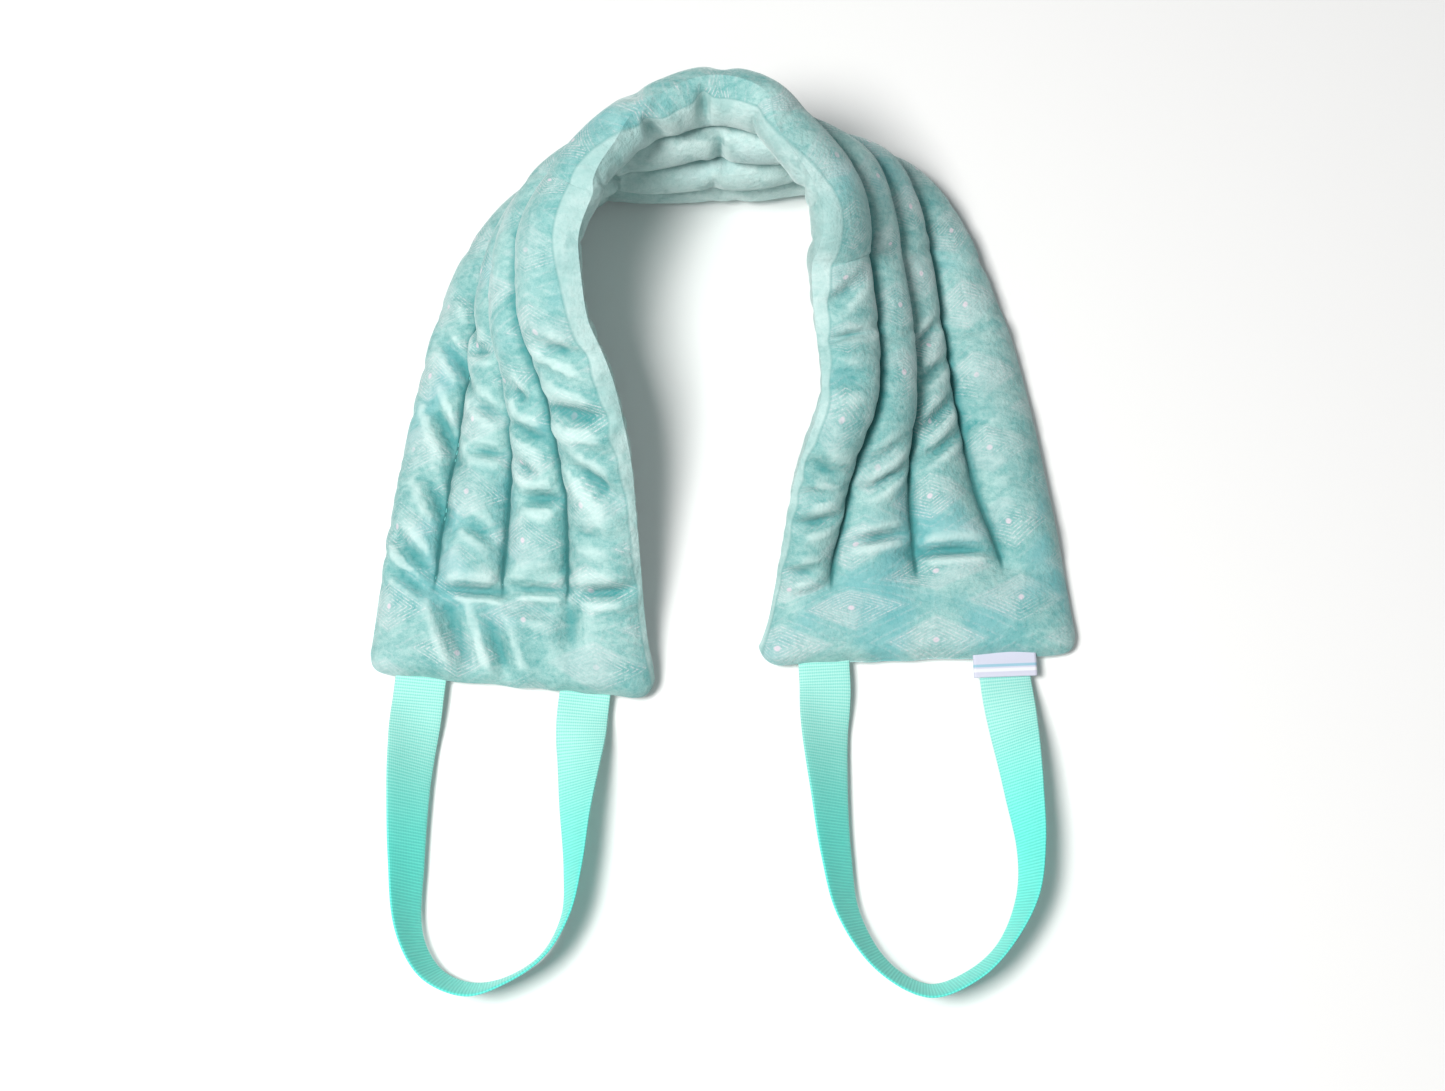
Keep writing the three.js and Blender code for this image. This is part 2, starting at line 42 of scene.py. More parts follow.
# the photo's camera
view = {"target": (-0.00042, 0.01029, 0.0), "distance": 1.300, "elevation": 75.0, "lens": 64.8,
        "sensor": 36.0, "nearest": 0.01}

elevation = np.radians(view["elevation"])
cameraData = bpy.data.cameras.new("photoCamera")
cameraData.lens = view["lens"]
cameraData.sensor_width = view["sensor"]
cameraData.sensor_fit = "HORIZONTAL"
cameraData.clip_start = view["nearest"]
camera = bpy.data.objects.new("photoCamera", cameraData)
camera.location = (
    view["target"][0],
    view["target"][1] - view["distance"] * np.cos(elevation),
    view["target"][2] + view["distance"] * np.sin(elevation),
)
aim = Vector(view["target"]) - camera.location
camera.rotation_euler = aim.to_track_quat("-Z", "Y").to_euler()
scene.collection.objects.link(camera)
scene.camera = camera

# a soft key light from the upper left, a weak fill and an even sky
light = {
    "key": {"at": (-0.68, -0.30, 1.84), "size": 0.6, "watts": 44.0, "color": (1.0, 0.99, 0.975)},
    "fill": {"at": (0.6, -0.9, 1.8), "size": 1.6, "watts": 3.0, "color": (0.97, 0.99, 1.0)},
    "sky": (0.95, 0.975, 1.0),
    "skyStrength": 0.22,
}
scene.view_settings.view_transform = "Standard"


def softbox(name, look):
    # a square lamp that faces the middle of the wrap
    data = bpy.data.lights.new(name, "AREA")
    data.shape = "SQUARE"
    data.size = look["size"]
    data.energy = look["watts"]
    data.color = look["color"]
    lamp = bpy.data.objects.new(name, data)
    lamp.location = look["at"]
    lamp.rotation_euler = (-Vector(look["at"])).to_track_quat("-Z", "Y").to_euler()
    scene.collection.objects.link(lamp)


softbox("keyLight", light["key"])
softbox("fillLight", light["fill"])
world = bpy.data.worlds.new("studio")
world.use_nodes = True
world.node_tree.nodes["Background"].inputs["Color"].default_value = (*light["sky"], 1.0)
world.node_tree.nodes["Background"].inputs["Strength"].default_value = light["skyStrength"]
scene.world = world
print("camera and light placed")


# the node tree of the material that is being made
making = {}


def newMaterial(name):
    # the nodes made after this call go into its tree
    material = bpy.data.materials.new(name)
    material.use_nodes = True
    making["tree"] = material.node_tree
    return material


def feed(socket, value):
    # an input may be a plain value or another node's output
    if isinstance(value, bpy.types.NodeSocket):
        making["tree"].links.new(value, socket)
    else:
        socket.default_value = value


def node(kind, inputs=None, **settings):
    made = making["tree"].nodes.new(kind)
    for key, value in settings.items():
        setattr(made, key, value)
    for key, value in (inputs or {}).items():
        feed(made.inputs[key], value)
    return made


def objectPlace():
    return node("ShaderNodeTexCoord").outputs["Object"]


def clothPlace():
    # metres along the cloth and across it
    parts = node("ShaderNodeSeparateXYZ", {0: node("ShaderNodeUVMap", uv_map="cloth").outputs[0]})
    return parts.outputs[0], parts.outputs[1]


def attribute(name):
    return node("ShaderNodeAttribute", attribute_name=name).outputs["Fac"]


def calc(operation, first, second=0.0, third=0.0):
    return node("ShaderNodeMath", {0: first, 1: second, 2: third}, operation=operation).outputs[0]


def times(first, *others):
    for other in others:
        first = calc("MULTIPLY", first, other)
    return first


def plus(first, *others):
    for other in others:
        first = calc("ADD", first, other)
    return first


def less(first, second):
    return calc("SUBTRACT", first, second)


def between(value, low, high):
    # 0 below low, 1 above high, smooth in between
    return node(
        "ShaderNodeMapRange", {"Value": value, "From Min": low, "From Max": high},
        interpolation_type="SMOOTHSTEP",
    ).outputs["Result"]


def mixColor(share, first, second):
    made = node("ShaderNodeMix", {0: share}, data_type="RGBA")
    for key, color in ((6, first), (7, second)):
        feed(made.inputs[key], (*color, 1.0) if isinstance(color, tuple) else color)
    return made.outputs[2]


def noise(vector, scale, detail=3.0, roughness=0.55, distortion=0.0):
    return node(
        "ShaderNodeTexNoise",
        {"Vector": vector, "Scale": scale, "Detail": detail, "Roughness": roughness,
         "Distortion": distortion},
    ).outputs[0]


def finish(piece, material, color, constants, *bumps):
    # gives the shader its colour, its plain values and its bumps, each of them a height, a strength and a
    # distance on top of the one before, and gives the piece the material
    shader = making["tree"].nodes["Principled BSDF"]
    feed(shader.inputs["Base Color"], color)
    for key, value in constants.items():
        shader.inputs[key].default_value = value
    for height, strength, distance in bumps:
        below = shader.inputs["Normal"].links
        bump = node("ShaderNodeBump", {"Strength": strength, "Distance": distance, "Height": height})
        if below:
            feed(bump.inputs["Normal"], below[0].from_socket)
        feed(shader.inputs["Normal"], bump.outputs[0])
    piece.data.materials.append(material)


def gridFaces(rows, columns, start=0):
    # quads between the neighbouring points of a grid of that many rows and columns
    corner = start + np.arange(rows - 1)[:, None] * columns + np.arange(columns - 1)[None, :]
    return np.stack([corner, corner + 1, corner + columns + 1, corner + columns], axis=-1).reshape(-1, 4)


def tubeFaces(rows, columns, turned=False):
    # quads round a tube of that many rings, with a strip of quads across both ends
    grid = np.arange(rows * columns).reshape(rows, columns)
    beside = np.roll(grid, -1, axis=1)
    tube = np.stack([grid[:-1], beside[:-1], beside[1:], grid[1:]], -1).reshape(-1, 4)
    rings = (grid[0, ::-1], grid[-1])
    if turned:
        tube = tube[:, [0, 3, 2, 1]]
        rings = (grid[0], grid[-1, ::-1])
    caps = [[ring[k], ring[k + 1], ring[-2 - k], ring[-1 - k]] for ring in rings
            for k in range(columns // 2 - 1)]
    return np.concatenate([tube, np.array(caps)])


def lengthAlong(line):
    # the length from the first point to each point of a line
    return np.concatenate([[0], np.cumsum(lengthOf(np.diff(line, axis=0), axis=1))])


def meshOf(name, points, faces, uv=None, smooth=True):
    # uv is given for each point and copied to the corners that use it
    mesh = bpy.data.meshes.new(name)
    mesh.from_pydata(points.reshape(-1, 3), [], faces.tolist())
    if uv is not None:
        corners = np.empty(len(mesh.loops), dtype=np.int32)
        mesh.loops.foreach_get("vertex_index", corners)
        layer = mesh.uv_layers.new(name="cloth")
        layer.data.foreach_set("uv", uv.reshape(-1, 2)[corners].ravel())
    mesh.polygons.foreach_set("use_smooth", np.full(len(mesh.polygons), smooth))
    mesh.validate()
    mesh.update()
    piece = bpy.data.objects.new(name, mesh)
    scene.collection.objects.link(piece)
    return piece


def setAttribute(piece, name, values):
    # one number for each point, which a material reads by that name
    layer = piece.data.attributes.new(name, "FLOAT", "POINT")
    layer.data.foreach_set("value", np.ascontiguousarray(values, dtype=np.float32).ravel())


# the pad, in millimetres, degrees and shares of its sizes
pad = {
    "archSpan": 348.0, "archDepth": 261.0, "width": 154.0, "channels": 4,
    "channelRise": 11.0, "endRise": 8.5, "seamCloth": 1.6, "edgeCloth": 3.2,
    "archPower": 0.6, "pillowPower": 6, "stitchEnd": 50.0, "stitchFade": 22.0, "settle": 1.3,
    "toFrame": (-0.423, -52.465), "clearance": 0.02,
    "walkSteps": 96, "measureSteps": 100, "slopeStep": 0.01,
    "alongSteps": 240, "alongEase": 0.35, "channelSteps": 12, "channelEase": 0.62,
    "corner": 10.0, "cornerFade": 3, "hemWave": 0.35, "hemWaves": 6, "hemUneven": (2, 9),
    # height, middle and width of the ridge on the far and on the near side of a fold
    "ridges": ((0.75, 1.7, 0.8), (0.4, -1.9, 0.9)),
    # the cloth's width over the channels beside the neck edge and on average, as shares of the pad's width
    "neckScale": 0.95, "meanScale": 0.9,
}
# a row for each section of the pad: its place along the outer edge, where that is, how far the section turns
# there and at the neck edge, the four channels' tilts, its width, the widths of the first and last channel,
# how far the plain cloth's roll adds to it, and how far the seam of the cloths lies from the neck edge
stationColumns = ["along", "x", "y", "swing", "neckSwing", "outer", "lower", "upper", "neck", "spread",
                  "rim", "neckRim", "roll", "seam"]
stations = np.array([
    [0.0, -1.0, -0.015, 0, 0, 3, 0, 0, 3, 0.9, 0.25, 0.265, 2, 1.5],
    [0.06, -0.975, 0.15, 0, 0, 20, 3, 5, 15, 0.86, 0.235, 0.265, 3, 2],
    [0.12, -0.94, 0.32, 0, 0, 25, 8, 25, 30, 0.845, 0.235, 0.265, 4, 2.6],
    [0.18, -0.9, 0.485, 0, 0, 22, 28, 52, 32, 0.83, 0.24, 0.265, 8, 5],
    [0.24, -0.843, 0.65, 2, 2, 32, 55, 72, 34, 0.82, 0.245, 0.265, 9, 5],
    [0.3, -0.744, 0.796, 8, 8, 55, 64, 78, 42, 0.83, 0.25, 0.265, 9, 7],
    [0.36, -0.582, 0.918, 12, 12, 68, 72, 74, 50, 0.832, 0.25, 0.265, 7, 7],
    [0.42, -0.362, 0.98, 8, 12, 72, 80, 84, 66, 0.825, 0.25, 0.265, 4, 1],
    [0.46, -0.2, 0.995, 0, 6, 66, 86, 92, 88, 0.82, 0.25, 0.265, 3, -6],
    [0.5, -0.03, 1.0, 0, 0, 64, 92, 98, 100, 0.82, 0.25, 0.265, 1, -6.5],
    [0.54, 0.144, 1.0, -24, -30, 66, 86, 92, 92, 0.82, 0.25, 0.265, 3, -5],
    [0.58, 0.322, 0.992, -55, -38, 78, 74, 72, 66, 0.82, 0.25, 0.265, 4, -1],
    [0.62, 0.497, 0.976, -45, -15, 76, 62, 56, 52, 0.835, 0.255, 0.265, 6, 3],
    [0.66, 0.624, 0.932, -22, 0, 58, 50, 58, 50, 0.84, 0.26, 0.265, 8, 5.5],
    [0.7, 0.724, 0.852, -6, 4, 36, 44, 58, 40, 0.82, 0.27, 0.255, 8, 5.5],
    [0.76, 0.825, 0.69, 0, 0, 12, 44, 58, 30, 0.823, 0.3, 0.235, 6, 4],
    [0.82, 0.886, 0.521, 0, 0, 6, 36, 54, 28, 0.836, 0.31, 0.21, 4, 2.6],
    [0.88, 0.93, 0.36, 0, 0, 5, 10, 18, 25, 0.86, 0.285, 0.195, 4, 2.6],
    [0.94, 0.972, 0.19, -3, -3, 5, 2, 2, 10, 0.92, 0.225, 0.17, 3, 2],
    [1.0, 1.005, 0.02, -5, -5, 2, 0, 0, 2, 1.0, 0.27, 0.265, 2, 1],
])
# a row for each fold: its place, its length and breadth in channel widths, its depth as a share of the
# channel's rise, and how far it turns away from the pad's length
foldColumns = ["along", "across", "reach", "spread", "depth", "turn"]
printedFolds = np.array([
    [0.252, 0.29, 0.5, 0.17, 0.27, 140], [0.218, 0.23, 0.55, 0.16, 0.24, 132],
    [0.17, 0.2, 0.55, 0.17, 0.34, 143], [0.12, 0.22, 0.42, 0.16, 0.27, 144],
    [0.082, 0.16, 0.42, 0.17, 0.29, 128], [0.066, 0.16, 0.4, 0.15, 0.22, 119],
    [0.231, 0.38, 0.26, 0.15, 0.22, 100], [0.189, 0.41, 0.26, 0.15, 0.2, 110],
    [0.157, 0.42, 0.28, 0.13, 0.17, 90], [0.102, 0.4, 0.26, 0.16, 0.18, 116],
    [0.063, 0.4, 0.72, 0.13, 0.27, 88], [0.196, 0.66, 0.24, 0.15, 0.24, 153],
    [0.173, 0.66, 0.3, 0.16, 0.24, 110], [0.148, 0.62, 0.26, 0.14, 0.2, 116],
    [0.129, 0.67, 0.3, 0.17, 0.27, 90], [0.07, 0.64, 0.6, 0.12, 0.24, 86],
    [0.079, 0.67, 0.36, 0.11, 0.14, 77], [0.22, 0.91, 0.34, 0.17, 0.26, 123],
    [0.202, 0.89, 0.32, 0.13, 0.16, 126], [0.182, 0.87, 0.46, 0.18, 0.34, 100],
    [0.159, 0.92, 0.26, 0.13, 0.16, 123], [0.139, 0.9, 0.36, 0.17, 0.34, 138],
    [0.107, 0.88, 0.3, 0.16, 0.14, 95], [0.073, 0.91, 0.46, 0.15, 0.27, 84],
    [0.031, 0.335, 0.68, 0.27, 0.32, 160], [0.026, 0.475, 0.6, 0.25, 0.26, 160],
    [0.022, 0.62, 0.44, 0.25, 0.14, 155], [0.055, 0.62, 0.46, 0.2, 0.16, 85],
    [0.048, 0.76, 0.36, 0.24, 0.2, 5], [0.455, 0.94, 0.12, 0.16, 0.12, 90],
    [0.505, 0.94, 0.12, 0.15, 0.08, 90], [0.734, 0.92, 0.3, 0.17, 0.22, -135],
    [0.773, 0.92, 0.24, 0.14, 0.16, -100], [0.807, 0.94, 0.3, 0.17, 0.22, -90],
    [0.845, 0.66, 0.26, 0.14, 0.17, -126], [0.855, 0.94, 0.36, 0.15, 0.26, -80],
    [0.87, 0.94, 0.32, 0.12, 0.2, -100], [0.888, 0.92, 0.38, 0.14, 0.25, -97],
    [0.923, 0.92, 0.32, 0.14, 0.22, -95], [0.863, 0.63, 0.3, 0.14, 0.18, -114],
    [0.905, 0.62, 0.36, 0.14, 0.22, -90], [0.764, 0.41, 0.3, 0.16, 0.22, 58],
    [0.793, 0.39, 0.32, 0.14, 0.2, -112], [0.823, 0.38, 0.34, 0.16, 0.24, -118],
    [0.846, 0.37, 0.34, 0.14, 0.18, -113], [0.922, 0.4, 0.5, 0.12, 0.27, -86],
])
plainFolds = np.array([
    [0.493, 0.92, 0.28, 0.15, 0.36, -90], [0.455, 0.9, 0.32, 0.16, 0.36, -70],
    [0.505, 0.61, 0.36, 0.14, 0.27, -85], [0.41, 0.62, 0.5, 0.18, 0.36, -75],
    [0.37, 0.85, 0.36, 0.18, 0.3, -90], [0.57, 0.6, 0.5, 0.18, 0.3, 80],
    [0.62, 0.88, 0.3, 0.18, 0.27, 90],
])


def smoothCurve(at, values, places):
    # a cubic through each row, its slope there taken from the rows beside it
    at, values, places = np.asarray(at, float), np.asarray(values, float), np.asarray(places, float)
    before, after = np.maximum(np.arange(len(at)) - 1, 0), np.minimum(np.arange(len(at)) + 1, len(at) - 1)
    spans = (at[after] - at[before]).reshape(-1, *[1] * (values.ndim - 1))
    slopes = (values[after] - values[before]) / spans
    i = np.clip(np.searchsorted(at, places, side="left") - 1, 0, len(at) - 2)
    span = at[i + 1] - at[i]
    u = np.clip((places - at[i]) / span, 0, 1)
    if values.ndim > 1:
        span, u = span[..., None], u[..., None]
    return (
        (2 * u**3 - 3 * u**2 + 1) * values[i] + (u**3 - 2 * u**2 + u) * span * slopes[i]
        + (3 * u**2 - 2 * u**3) * values[i + 1] + (u**3 - u**2) * span * slopes[i + 1]
    )


def column(table, names, key):
    # the column of that name
    return table[:, names.index(key)]


def station(key, places):
    # a column of the pad's table, smooth between its rows
    along, values = column(stations, stationColumns, "along"), column(stations, stationColumns, key)
    return smoothCurve(along, values, places)


def smoothStep(value, low, high):
    # 3u^2 - 2u^3, with u going from 0 at low to 1 at high
    u = np.clip((value - low) / (high - low), 0, 1)
    return u * u * (3 - 2 * u)


def outerEdge(along):
    # the outer edge in the arch's own place: its x in half spans, its y in depths of the arch
    return np.stack([station("x", along) * pad["archSpan"] / 2, station("y", along) * pad["archDepth"]], -1)


def travelAt(along):
    # unit vector along the outer edge
    behind, ahead = np.clip(along - pad["slopeStep"], 0, 1), np.clip(along + pad["slopeStep"], 0, 1)
    step = outerEdge(ahead) - outerEdge(behind)
    return step / lengthOf(step, axis=-1, keepdims=True)


measured = outerEdge(np.linspace(0, 1, pad["measureSteps"] + 1))
pad["length"] = float(lengthOf(np.diff(measured, axis=0), axis=1).sum())


def hemDistance(along):
    # millimetres along the outer edge to the nearer hem
    return np.minimum(along, 1 - along) * pad["length"]


def sideDistance(across):
    # millimetres across the pad to its nearer long edge
    return np.minimum(across, 1 - across) * pad["width"]


def padRise(along, across, power):
    # half thickness: where the pad is stitched an arch (1 - (2c - 1)^2)^power over each channel, c running
    # from seam to seam, and near the hems one pillow, the root of 1 - (2a - 1)^6 over the whole width a
    stitched = smoothStep(hemDistance(along), pad["stitchEnd"] - pad["stitchFade"] / 2,
                          pad["stitchEnd"] + pad["stitchFade"] / 2)
    inChannel = np.where(across >= 1, 0.0, (across * pad["channels"]) % 1)
    bulge = np.maximum(1 - (2 * inChannel - 1) ** 2, 0) ** power
    nearEdge = np.maximum(1 - np.minimum(across, 1 - across) * 2 * pad["channels"], 0)
    base = pad["seamCloth"] + (pad["edgeCloth"] - pad["seamCloth"]) * nearEdge
    channel = base + (pad["channelRise"] - base) * bulge
    flat = np.maximum(1 - (2 * across - 1) ** pad["pillowPower"], 0) ** 0.5
    pillow = pad["edgeCloth"] + (pad["endRise"] - pad["edgeCloth"]) * flat
    return pillow + (channel - pillow) * stitched


def seamSurface(along, across):
    # the surface half way through the pad: from the outer edge each section walks across in short steps,
    # level share by its tilt's cosine and up by its sine, and hangs so that the filled pad meets the table
    steps, channels = pad["walkSteps"], pad["channels"]
    travel = travelAt(along)
    square = np.stack([travel[:, 1], -travel[:, 0]], -1)
    middles = (np.arange(steps) + 0.5) / steps
    turn = np.radians(station("swing", along)[:, None] * (1 - middles)
                      + station("neckSwing", along)[:, None] * middles)
    tilts = np.stack([station(key, along) for key in ("outer", "lower", "upper", "neck")], 0)
    tilt = np.radians(smoothCurve((np.arange(channels) + 0.5) / channels, tilts, middles).T)
    rim, neckRim = station("rim", along), station("neckRim", along)
    middle = (1 - rim - neckRim) / 2
    shares = np.stack([rim, middle, middle, neckRim], -1)
    width = pad["width"] * station("spread", along)[:, None]
    pace = width * shares[:, np.minimum((middles * channels).astype(int), channels - 1)] * channels / steps
    # the last channel reaches further by the roll of the plain cloth over the neck edge
    roll = station("roll", along)[:, None] * channels / steps
    pace += np.where(middles > 1 - 1 / channels, roll, 0)
    level = pace * np.cos(tilt)
    dx = level * (square[:, :1] * np.cos(turn) - square[:, 1:] * np.sin(turn))
    dy = level * (square[:, :1] * np.sin(turn) + square[:, 1:] * np.cos(turn))
    dz = pace * np.sin(tilt)
    walked = np.cumsum(np.stack([dx, dy, dz], -1), axis=1)
    walked = np.concatenate([np.zeros((len(along), 1, 3)), walked], axis=1)
    thick = padRise(along[:, None], middles[None, :], pad["archPower"])
    under = (walked[:, :-1, 2] + walked[:, 1:, 2]) / 2 - np.cos(tilt) * thick
    lowest = np.minimum(under.min(axis=1), -pad["edgeCloth"])
    foot = outerEdge(along)
    walked[:, :, 0] += foot[:, :1]
    walked[:, :, 1] += foot[:, 1:]
    walked[:, :, 2] -= (lowest + pad["settle"])[:, None]
    at = np.clip(across * steps, 0, steps)
    i = np.minimum(at.astype(int), steps - 1)
    share = (at - i)[None, :, None]
    points = walked[:, i] * (1 - share) + walked[:, i + 1] * share
    points[..., :2] += pad["toFrame"]
    return points


def roundedCorners(points, along, across):
    # draws the hem line in by r - sqrt(r^2 - x^2) over the last r millimetres beside a corner and by a small
    # uneven wave in between, both fading out away from the hem
    r = pad["corner"]
    drawn = r - np.sqrt(r**2 - np.maximum(r - sideDistance(across), 0) ** 2)
    swing, pace = pad["hemUneven"]
    phase = 2 * np.pi * across * pad["hemWaves"] + swing * np.sin(pace * across)
    drawn = drawn + pad["hemWave"] * (1 - np.cos(phase))
    fade = np.maximum(1 - hemDistance(along) / (pad["cornerFade"] * r), 0) ** 2
    fade = fade * np.where(along < 0.5, 1, -1)
    inward = travelAt(along) * fade[:, None]
    moved = points.copy()
    moved[..., :2] += inward[:, None] * drawn[None, :, None]
    return moved


def unitVectors(vectors):
    # each vector divided by its length
    return vectors / np.maximum(lengthOf(vectors, axis=-1, keepdims=True), 1e-9)


def squareTo(points, along, across):
    # unit vectors out of the printed face: crosswise by lengthwise slopes of the seam surface
    crosswise = np.gradient(points, across, axis=1)
    lengthwise = np.gradient(points, along, axis=0)
    return unitVectors(np.cross(crosswise, lengthwise))


def pressedIn(folds, along, across, breadth):
    # at each place the deepest fold and the highest of the ridges beside the folds, as shares of the
    # channel's rise: along a fold both fade as exp(-down^2); across it the dent is exp(-off^2), and each of
    # its two ridges is its height times exp(-((off - middle) / width)^2)
    row = {key: column(folds, foldColumns, key)[:, None, None] for key in foldColumns}
    turn = np.radians(row["turn"])
    away = (along[None, :, None] - row["along"]) * pad["length"] / (pad["width"] / pad["channels"])
    aside = (across[None, None, :] - row["across"]) * pad["channels"]
    down = (away * np.cos(turn) + aside * np.sin(turn)) / row["reach"]
    off = (aside * np.cos(turn) - away * np.sin(turn)) / (row["spread"] * breadth)
    reach = row["depth"] * np.exp(-(down**2))
    dent = (reach * np.exp(-(off**2))).max(axis=0)
    ridges = [height * np.exp(-(((off - middle) / width) ** 2)) for height, middle, width in pad["ridges"]]
    return dent, (reach * (ridges[0] + ridges[1])).max(axis=0)


def eased(steps, ease):
    # an even line from 0 to 1 less a share of a sine, which brings its points closer together at both ends
    even = np.linspace(0, 1, steps + 1)
    return even - ease * np.sin(2 * np.pi * even) / (2 * np.pi)


# rows sit closer together towards the hems, and columns towards every seam and edge
alongLine = eased(pad["alongSteps"], pad["alongEase"])
inChannel = eased(pad["channelSteps"], pad["channelEase"])[:-1]
channelStarts = np.arange(pad["channels"])[:, None]
acrossLine = np.append((channelStarts + inChannel).ravel(), float(pad["channels"])) / pad["channels"]
seamMiddle = roundedCorners(seamSurface(alongLine, acrossLine), alongLine, acrossLine)
seamNormal = squareTo(seamMiddle, alongLine, acrossLine)
seamFromEdge = station("seam", alongLine)
print("pad laid out,", pad["alongSteps"], "by", len(acrossLine) - 1)


# how the cloth of both faces is laid, filled by the simulation and pressed in at its folds
filling = {
    "pressure": 6.0, "frames": 20, "quality": 5, "farthest": 5.0, "enlarged": 10,
    "stiffness": 12.0, "shear": 0.4, "bending": 0.35, "mass": 0.25, "pinStrength": 1.0,
    "archPower": 0.55, "foldDepth": 0.9, "foldHold": 0.7, "seamFree": 4.0, "hemRoll": 12.0,
    "edgeRound": 8.0, "hemRound": 6.0, "edgeScale": 0.85, "skin": 0.03, "leastCloth": 1.1,
    "groove": {"depth": 1.1, "breadth": 1.5, "edgeFade": 3.0},
    "bandFade": 12.0, "bandReach": 4.5, "pressedBreadth": 0.6, "pressedFrom": (1.0, 7.0),
    "creaseReach": 5.0, "creaseFromEdge": (5.0, 14.0), "creaseFromHem": (4.0, 12.0),
    "printed": {"slack": (0.03, 0.09), "crease": 1.3, "ridge": 1.0, "side": 1.0},
    "plain": {"slack": (0.05, 0.10), "crease": 1.0, "ridge": 0.8, "side": -1.0},
    # how loose the cloth lies from the left hem to the right, 0 to 1
    "loose": np.array([[0.0, 0.6], [0.1, 0.8], [0.25, 0.7], [0.36, 0.3], [0.5, 0.15], [0.62, 0.1],
                       [0.75, 0.1], [0.84, 0.3], [0.92, 0.4], [1.0, 0.4]]),
}


def pastSeam(side):
    # millimetres past the seam between the two cloths, from the printed side (1) over the neck edge to the
    # plain side (-1)
    return seamFromEdge[:, None] - side * (1 - acrossLine[None, :]) * pad["width"] * pad["neckScale"]


def faceStart(which, folds):
    # the filled shape before the simulation: the seam surface moved out by the pad's rise less its folds,
    # rounded down along the edges and hems by the root of 1 - (1 - distance / radius)^2
    side = filling[which]["side"]
    along, across = np.meshgrid(alongLine, acrossLine, indexing="ij")
    thick = padRise(along, across, filling["archPower"])
    dents = pressedIn(folds, alongLine, acrossLine, 1.0)[0]
    thick = np.maximum(thick - dents * filling["foldDepth"] * pad["channelRise"], pad["seamCloth"])
    fromHem = hemDistance(along)
    rounded = np.sqrt(1 - np.maximum(1 - fromHem / filling["hemRoll"], 0) ** 2)
    thick = pad["edgeCloth"] + (thick - pad["edgeCloth"]) * rounded
    fromSide = sideDistance(across) * filling["edgeScale"]
    for far, radius in ((fromSide, filling["edgeRound"]), (fromHem, filling["hemRound"])):
        thick = thick * np.sqrt(1 - np.maximum(1 - far / radius, 0) ** 2)
    thick = thick + filling["skin"]
    if which == "printed":
        # the seam between the two cloths lies in a groove, depth times exp(-(distance / breadth)^2)
        groove = filling["groove"]
        hollow = groove["depth"] * np.exp(-((pastSeam(side) / groove["breadth"]) ** 2))
        thick = thick - hollow * np.minimum(fromSide / groove["edgeFade"], 1)
    points = seamMiddle + seamNormal * side * thick[..., None]
    points[..., 2] = np.maximum(points[..., 2], 0)
    return points, dents / dents.max(), fromHem


def addLevels(group, weights):
    # puts each point in the group with its weight, one call for all points of the same weight
    for level in np.unique(weights[weights > 0]):
        group.add(np.flatnonzero(weights == level).tolist(), float(level), "REPLACE")


def fillFace(which, start, dents, fromHem):
    # cloth with more length than the surface it lies on, held at its edges and channel seams and a little
    # at its folds, and blown outwards; it is simulated enlarged, which keeps the solver steady
    look = filling[which]
    rows, columns = start.shape[:2]
    faces = gridFaces(rows, columns)
    if look["side"] < 0:
        faces = faces[:, ::-1]
    cloth = meshOf(which + "Cloth", start * 0.001 * filling["enlarged"], faces)
    hold = dents * filling["foldHold"]
    seams = np.s_[:, :: pad["channelSteps"]]
    hold[seams] = np.where((fromHem > pad["stitchEnd"] - filling["seamFree"])[seams], 1.0, hold[seams])
    hold[0], hold[-1], hold[:, 0], hold[:, -1] = 1, 1, 1, 1
    addLevels(cloth.vertex_groups.new(name="held"), np.round(hold.ravel(), 1))
    loose = np.round(smoothCurve(filling["loose"][:, 0], filling["loose"][:, 1], alongLine), 1)
    addLevels(cloth.vertex_groups.new(name="loose"), np.repeat(loose, columns))
    modifier = cloth.modifiers.new("cloth", "CLOTH")
    settings = modifier.settings
    stiff = filling["stiffness"]
    for key, value in {
        "quality": filling["quality"], "mass": filling["mass"], "tension_stiffness": stiff,
        "compression_stiffness": stiff, "shear_stiffness": stiff * filling["shear"],
        "bending_stiffness": filling["bending"], "vertex_group_mass": "held",
        "pin_stiffness": filling["pinStrength"], "vertex_group_shrink": "loose",
        "shrink_min": -look["slack"][0], "shrink_max": -look["slack"][1],
        "use_pressure": True, "uniform_pressure_force": filling["pressure"],
    }.items():
        setattr(settings, key, value)
    settings.effector_weights.gravity = 0.0
    modifier.collision_settings.use_collision = False
    modifier.collision_settings.use_self_collision = False
    modifier.point_cache.frame_start = 1
    modifier.point_cache.frame_end = filling["frames"] + 1
    for step in range(1, filling["frames"] + 1):
        scene.frame_set(step)
    settled = cloth.evaluated_get(bpy.context.evaluated_depsgraph_get())
    moved = np.empty(rows * columns * 3, dtype=np.float32)
    settled.data.vertices.foreach_get("co", moved)
    moved = moved.reshape(rows, columns, 3).astype(float) * (1000 / filling["enlarged"])
    scene.frame_set(1)
    bpy.data.objects.remove(cloth, do_unlink=True)
    shift = moved - start
    far = lengthOf(shift, axis=-1, keepdims=True)
    print(which, "cloth moved by up to", round(float(far.max()), 2), "mm, mean", round(float(far.mean()), 2))
    return start + shift * np.minimum(1, filling["farthest"] / np.maximum(far, 1e-9))


